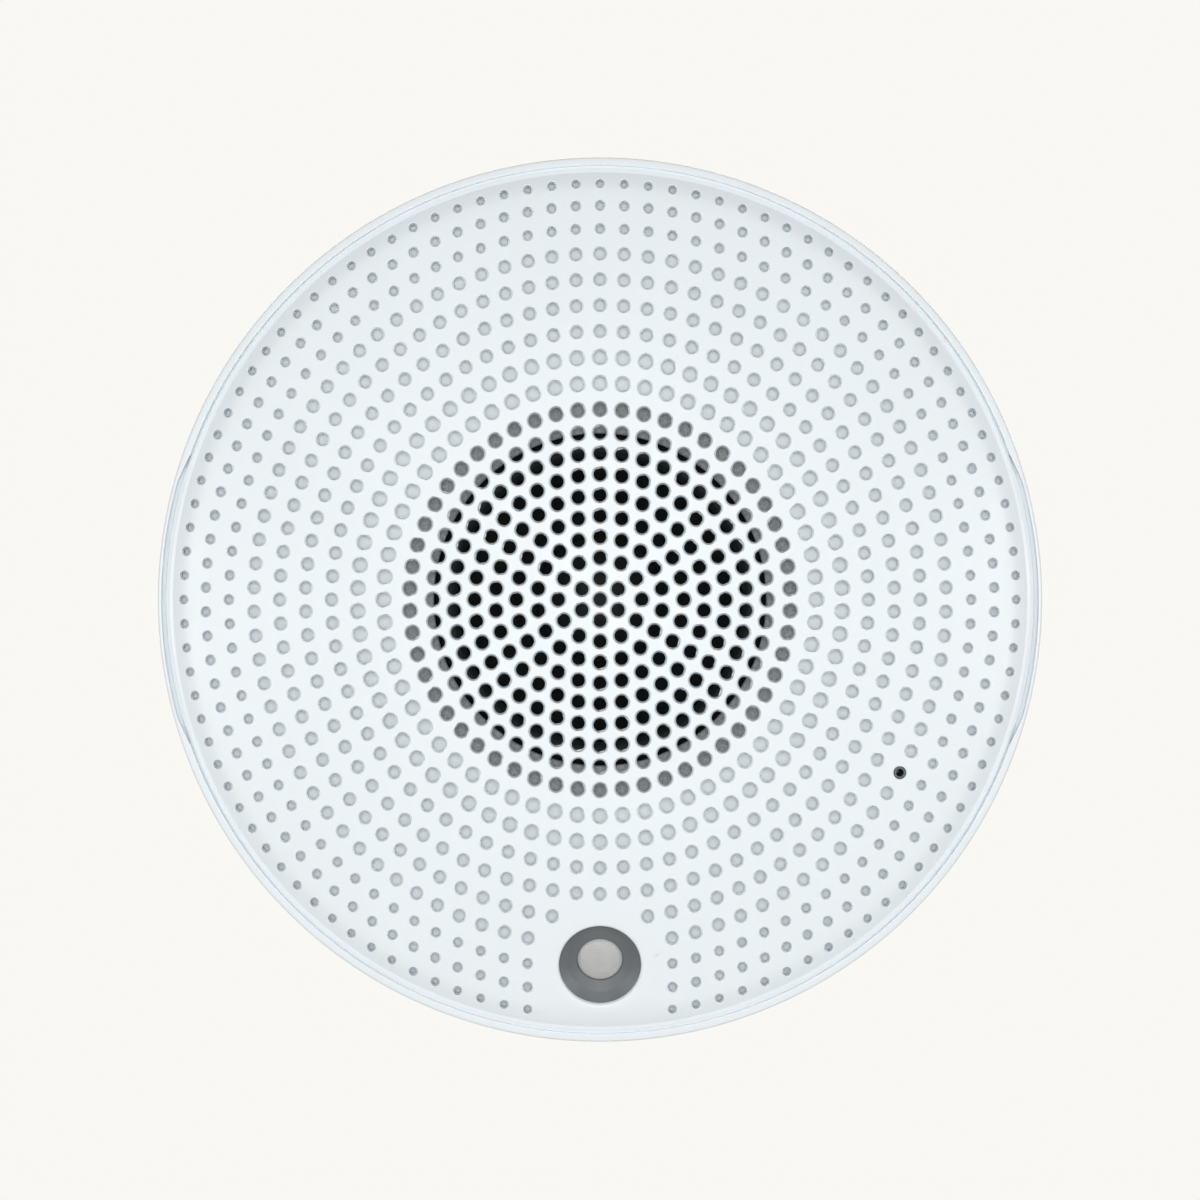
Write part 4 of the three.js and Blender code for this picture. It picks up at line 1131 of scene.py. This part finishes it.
def housing_extras():
    """The ribs, the board's bosses, the bayonet lugs and the control button's sleeves."""
    extras = [housing_rib(index) for index in range(RIBS.count)]
    b = BOARD_BOSS
    boss = ring(b.bore, b.outer, b.z, b.top_z, 0.3, SMALL)
    extras += [boss.moved(at_polar(b.radius, angle)) for angle in b.angles]
    g = LUGS
    for angle in THIRDS:
        ends = (angle - g.half, angle + g.half)
        extras.append(sector(g.inner, g.outer, *ends, g.z, g.top_z, g.corner, g.edge))
    for inner, z0, z1 in BUTTON_SLEEVES:
        sleeve = ring(inner, BUTTON.outer, z0, z1, 0.2, 64)
        extras.append(sleeve.moved(at(BUTTON)))
    return extras


def base_housing():
    add_piece("base_housing", lathe(TUB_PROFILE, 360, FINE), housing_cuts(), housing_extras())


def back_label():
    label = slab(LABEL.width, LABEL.height, LABEL.z, LABEL.top_z, LABEL.corner, LABEL.edge)
    add_piece("back_label", label.moved(move_by(0, LABEL.y)))


# ---- screws

SCREW = Sizes(head=2.6, crown=1.7, height=1.6, seat=13.7, tip=26, shank=1.0, pitch=0.7, hole=1.6)
# The plain neck and the plain point, the brim's height over the crown, and the point's own cone.
PLAIN = Sizes(neck=0.6, point=1.2, brim=0.75, cone=0.4)
# The radius of the neck, of the thread's root and of the point, as shares of the shank's.
SHARES = Sizes(neck=0.8, root=0.78, point=0.5)
# The cross in a screw's head: half its span, the width of an arm, its depth, and the turn between screws.
CROSS = Sizes(reach=1.5, width=0.55, depth=0.9, above=0.1, turn=17)


def cross_recess(z):
    """The cross in a screw's head, from z upwards."""
    arm = slab(2 * CROSS.reach, CROSS.width, z, z + CROSS.depth, 0.1, 0)
    return [arm.moved(turn_by(angle)) for angle in (0, 90)]


def screw_shape():
    """A pan-head thread-forming screw, head down."""
    shank, seat, tip = SCREW.shank, SCREW.seat, SCREW.tip
    head_z = seat - SCREW.height
    core = [
        (0, head_z, 0),
        (SCREW.crown, head_z, 0.6),
        (SCREW.head, head_z + PLAIN.brim, 0.5),
        (SCREW.head, seat, 0.1),
        (shank * SHARES.neck, seat, 0.1),
    ]
    z = seat + PLAIN.neck
    while z < tip - PLAIN.point:
        core += [(shank, z, 0), (shank * SHARES.root, z + SCREW.pitch / 2, 0)]
        z += SCREW.pitch
    core += [(shank * SHARES.point, tip - PLAIN.cone, 0.2), (0, tip, 0)]
    return lathe(core, 40)


def housing_screws():
    recess = cross_recess(SCREW.seat - SCREW.height - CROSS.above)
    for number, angle in enumerate(DIAGONALS, 1):
        spot = at_polar(HOUSING_SCREW_RADIUS, angle)
        tools = [arm.moved(spot @ turn_by(CROSS.turn * number)) for arm in recess]
        add_piece(f"housing_screw_{number}", screw_shape().moved(spot), tools)


# ---- the bracket

BRACKET = Sizes(radius=56, thickness=2.2, half=10, stop=1.8)
HOOK = Sizes(inner=49.5, wall=51.7, outer=56, z=5.6, top_z=7.2, corner=0.4, edge=0.3)
CABLE = Sizes(y=27, width=28, height=24, corner=5, rim=1.8, rim_z=1.2, rim_top_z=3.4)
SLOT = Sizes(x=35, y=20, length=12.4, width=5.6, sink=3, sink_z=1.5, flat=0.01)
GROOVES = Sizes(radii=(8, 46.5), width=1.2, depth=0.35)
ARROW = [(-4, 41.5, 0.4), (4, 41.5, 0.4), (0, 47, 0.4)]
ARROW_Z = (1.9, 2.8)
# Steps in the slots' round ends and in the corners of the cable opening's rim.
ROUND_END = 8
RIM_CORNER = 6


def bayonet_hook(angle):
    """A hook's upright, its arm over the lug, and the stop at the end of the turn."""
    h = HOOK
    start, end = angle - BRACKET.half, angle + BRACKET.half
    low = BRACKET.thickness - OVERLAP
    arm = h.wall - OVERLAP
    walls = (
        (h.inner, h.wall, start, end, low),
        (arm, h.outer, start, end, h.z),
        (arm, h.outer, start - BRACKET.stop, start + h.corner, low),
    )
    return [sector(*wall, h.top_z, h.corner, h.edge) for wall in walls]


def slot_outline(grown):
    """The outline of a screw slot with round ends, grown by a width."""
    width = SLOT.width + grown
    return rectangle(SLOT.length + grown, width, width / 2 - SLOT.flat, ROUND_END)


def bracket_cuts():
    """The cable opening, the sunk screw slots and the grooves moulded in the back face."""
    above = BRACKET.thickness + CLEAR
    opening = slab(CABLE.width, CABLE.height, -CLEAR, above, CABLE.corner, 0)
    cuts = [opening.moved(move_by(0, CABLE.y))]
    for x in (-SLOT.x, SLOT.x):
        for y in (-SLOT.y, SLOT.y):
            cuts.append(prism(slot_outline(0), -CLEAR, above, 0).moved(move_by(x, y)))
            cuts.append(prism(slot_outline(SLOT.sink), SLOT.sink_z, above, 0).moved(move_by(x, y)))
    for radius in GROOVES.radii:
        cuts.append(ring(radius, radius + GROOVES.width, -CLEAR, GROOVES.depth, 0, 180))
    return cuts


def cable_rim():
    """The raised rim round the cable opening."""
    c = CABLE
    rim = 2 * c.rim
    outer = rectangle(c.width + rim, c.height + rim, c.corner + c.rim, RIM_CORNER)
    inner = rectangle(c.width, c.height, c.corner, RIM_CORNER)
    return frame_shape(outer, inner, c.rim_z, c.rim_top_z).moved(move_by(0, c.y))


def wall_bracket():
    radius, thickness = BRACKET.radius, BRACKET.thickness
    plate = lathe([(0, 0, 0), (radius, 0, 0.3), (radius, thickness, 0.5), (0, thickness, 0)], 240)
    extras = [cable_rim(), prism(fillet(ARROW), *ARROW_Z, 0.15)]
    for angle in THIRDS:
        extras += bayonet_hook(angle)
    add_piece("wall_bracket", plate, bracket_cuts(), extras)


def frame_shape(outer, inner, z0, z1, edge=0.3):
    """A frame between two outlines with the same number of points, with its upper edges rounded."""
    grown = inset(inner, -edge)
    loops = [
        [(p.x, p.y, z0) for p in outer],
        [(p.x, p.y, z1 - edge) for p in outer],
        [(p.x, p.y, z1) for p in inset(outer, edge)],
        [(p.x, p.y, z1) for p in grown],
        [(p.x, p.y, z1 - edge) for p in inner],
        [(p.x, p.y, z0) for p in inner],
    ]
    count = len(outer)
    points = [point for loop in loops for point in loop]
    faces = []
    for level in range(len(loops)):
        low, high = level * count, (level + 1) % len(loops) * count
        for i in range(count):
            j = (i + 1) % count
            faces.append((low + i, low + j, high + j, high + i))
    return Shape(points, faces)


# ---- sockets and control behind

JACK_HOLE = Sizes(depth=13.5, width=11.9, z=5.6, top_z=12.4)
JACK_KEY = Sizes(width=6.2, z=6.6, top_z=14.2)
CONTACTS = Sizes(count=8, pitch=1.02, width=0.45, length=9.5, z=5.7, top_z=6.5, back=7.5)
FINGERS = Sizes(ends=(-4, 4), width=0.3, length=5, z=6, top_z=11)


def network_jack():
    """A shielded eight-way socket whose mouth faces up, with its contacts and spring fingers."""
    front = JACK.y + JACK.length / 2
    body = slab(JACK.width, JACK.length, JACK.z, SOCKET_TOP_Z, JACK.corner, JACK.edge)
    depth = JACK_HOLE.depth + CLEAR
    holes = []
    for hole in (JACK_HOLE, JACK_KEY):
        mouth = slab(hole.width, depth, hole.z, hole.top_z, 0.2, 0)
        holes.append(mouth.moved(move_by(0, front + CLEAR - depth / 2)))
    details = []
    c = CONTACTS
    for index in range(c.count):
        contact = slab(c.width, c.length, c.z, c.top_z, 0.1, 0.1)
        x = (index - (c.count - 1) / 2) * c.pitch
        details.append(contact.moved(move_by(x, front - c.back)))
    f = FINGERS
    for x in (-JACK.width / 2, JACK.width / 2):
        for y in f.ends:
            finger = slab(f.width, f.length, f.z, f.top_z, 0.1, 0.1)
            details.append(finger.moved(move_by(x, JACK.y + y)))
    add_piece("network_jack", body.moved(at(JACK)), holes, details)


# Shares of the pitch between two poles: the wire's opening, the screw's well and the screw.
POLE = Sizes(opening=0.63, well=0.34, clamp=0.3)
# The same three, from the block's foot up, and where the wells lie behind its middle.
OPENING = Sizes(depth=6, z=4, top_z=7)
WELL = Sizes(y=-1, top_z=2, clamp_z=0.7, clamp_top_z=2.2)


def terminal_block():
    """A pluggable block whose poles each have an opening for the wire and a clamp screw."""
    t = TERMINAL
    spot = at(t)
    pitch = t.width / t.poles
    body = slab(t.width, t.length, t.z, SOCKET_TOP_Z, t.corner, t.edge).moved(spot)
    opening = slab(pitch * POLE.opening, OPENING.depth, t.z + OPENING.z, t.z + OPENING.top_z, 0.3, 0)
    well = disc(pitch * POLE.well, t.z - CLEAR, t.z + WELL.top_z, 0, SMALL)
    clamp = disc(pitch * POLE.clamp, t.z + WELL.clamp_z, t.z + WELL.clamp_top_z, 0.2, SMALL)
    cuts = []
    clamps = []
    for pole in range(t.poles):
        x = (pole - (t.poles - 1) / 2) * pitch
        cuts.append(opening.moved(spot @ move_by(x, t.length / 2)))
        cuts.append(well.moved(spot @ move_by(x, WELL.y)))
        clamps.append(clamp.moved(spot @ move_by(x, WELL.y)))
    add_piece("terminal_block", body, cuts, clamps)


BUTTON_PROFILE = [
    (0, 10.1, 0), (1.7, 9.95, 0.6), (2.5, 9.95, 0.5), (2.5, 12.7, 0.1),
    (3.5, 12.7, 0.1), (3.5, 13.3, 0.1), (0, 13.3, 0),
]
LIGHT_PROFILE = [(0, 12.6, 0), (1.5, 12.8, 0.4), (1.5, 16, 0.1), (0, 16, 0)]


def control_button():
    add_piece("control_button", lathe(BUTTON_PROFILE, 64).moved(at(BUTTON)))


def light_pipe():
    add_piece("light_pipe", lathe(LIGHT_PROFILE, 48, FINE).moved(at(LIGHT)))


# The foam pad: its radii, angles, heights, corner and edge rounding.
FOAM = (43, 59.5, 60, 120, 24.5, 33.5, 1.5, 1.6)


def damping_foam():
    """A cut pad of acoustic foam, pressed thinner towards its edges."""
    add_piece("damping_foam", sector(*FOAM))


# ---- the rest of the frame


def finish_frame():
    """Gives every CAD node that still shows its own node material."""
    for name, obj in frame["nodes"].items():
        if obj.hide_render:
            continue
        for part_slot in obj.material_slots:
            part_slot.link = "OBJECT"
            part_slot.material = material_for(SLOT_OF[name])


# ---- camera, light and floor


def add_camera():
    """A long lens straight in front."""
    data = bpy.data.cameras.new("camera")
    data.sensor_width = CAMERA.sensor
    data.lens = CAMERA.sensor * CAMERA.distance / CAMERA.width
    data.clip_start = CAMERA.clip
    camera = new_object("camera", data)
    camera.location = place(0, -CAMERA.drop, CAMERA.distance + RIM_Z)
    camera.rotation_euler = (radians(90), 0, 0)
    bpy.context.scene.camera = camera


# Each light's place in metres, its size and its power.
LIGHTS = {
    "key": ((0, -2.4, 0.15), 1.3, 24),
    "left": ((-1.9, -1.5, 0), 0.9, 20),
    "right": ((1.9, -1.5, 0), 0.9, 20),
    "back": ((0, 1.9, 0.5), 1.4, 30),
}
LIGHT_AIM = Vector((0, -0.02, 0))


def add_lights():
    for name, (location, size, power) in LIGHTS.items():
        data = bpy.data.lights.new(name, "AREA")
        data.size = size
        data.energy = power
        light = new_object(name, data)
        light.location = location
        light.rotation_euler = (LIGHT_AIM - Vector(location)).to_track_quat("-Z", "Y").to_euler()
        light.visible_camera = False


WORLD_STRENGTH = 0.16
BACKDROP = colour_of(248.7, 247.7, 243.7)
FLOOR = Sizes(radius=2.5, z=-1.8, sides=96, colour=colour_of(206, 205, 202))


def add_world():
    """A cream backdrop for the camera, and a dimmer even light for the object."""
    world = bpy.data.worlds.new("studio")
    bpy.context.scene.world = world
    world.use_nodes = True
    tree = world.node_tree
    output = tree.nodes["World Output"]
    light = tree.nodes["Background"]
    light.inputs["Color"].default_value = (1, 1, 1, 1)
    light.inputs["Strength"].default_value = WORLD_STRENGTH
    backdrop = tree.nodes.new("ShaderNodeBackground")
    backdrop.inputs["Color"].default_value = BACKDROP
    rays = tree.nodes.new("ShaderNodeLightPath")
    mix = tree.nodes.new("ShaderNodeMixShader")
    tree.links.new(rays.outputs["Is Camera Ray"], mix.inputs[0])
    tree.links.new(light.outputs[0], mix.inputs[1])
    tree.links.new(backdrop.outputs[0], mix.inputs[2])
    tree.links.new(mix.outputs[0], output.inputs["Surface"])


def add_floor():
    """A plain pale floor, well below the wall speaker."""
    mesh = bpy.data.meshes.new("floor")
    work = bmesh.new()
    bmesh.ops.create_circle(work, cap_ends=True, segments=FLOOR.sides, radius=FLOOR.radius)
    work.to_mesh(mesh)
    work.free()
    floor = new_object("floor", mesh)
    floor.location = (0, 0, FLOOR.z)
    surface = Surface("floor_paint")
    moulded(surface, FLOOR.colour, 0.6, grain=3, depth=0.05)
    mesh.materials.append(surface.material)


def main():
    add_camera()
    add_lights()
    add_world()
    add_floor()
    front_cover()
    mic_port_ring()
    motion_sensor()
    front_baffle()
    driver()
    base_housing()
    back_label()
    housing_screws()
    wall_bracket()
    network_jack()
    terminal_block()
    control_button()
    light_pipe()
    damping_foam()
    finish_frame()
    bpy.context.scene.view_settings.view_transform = "Standard"


main()
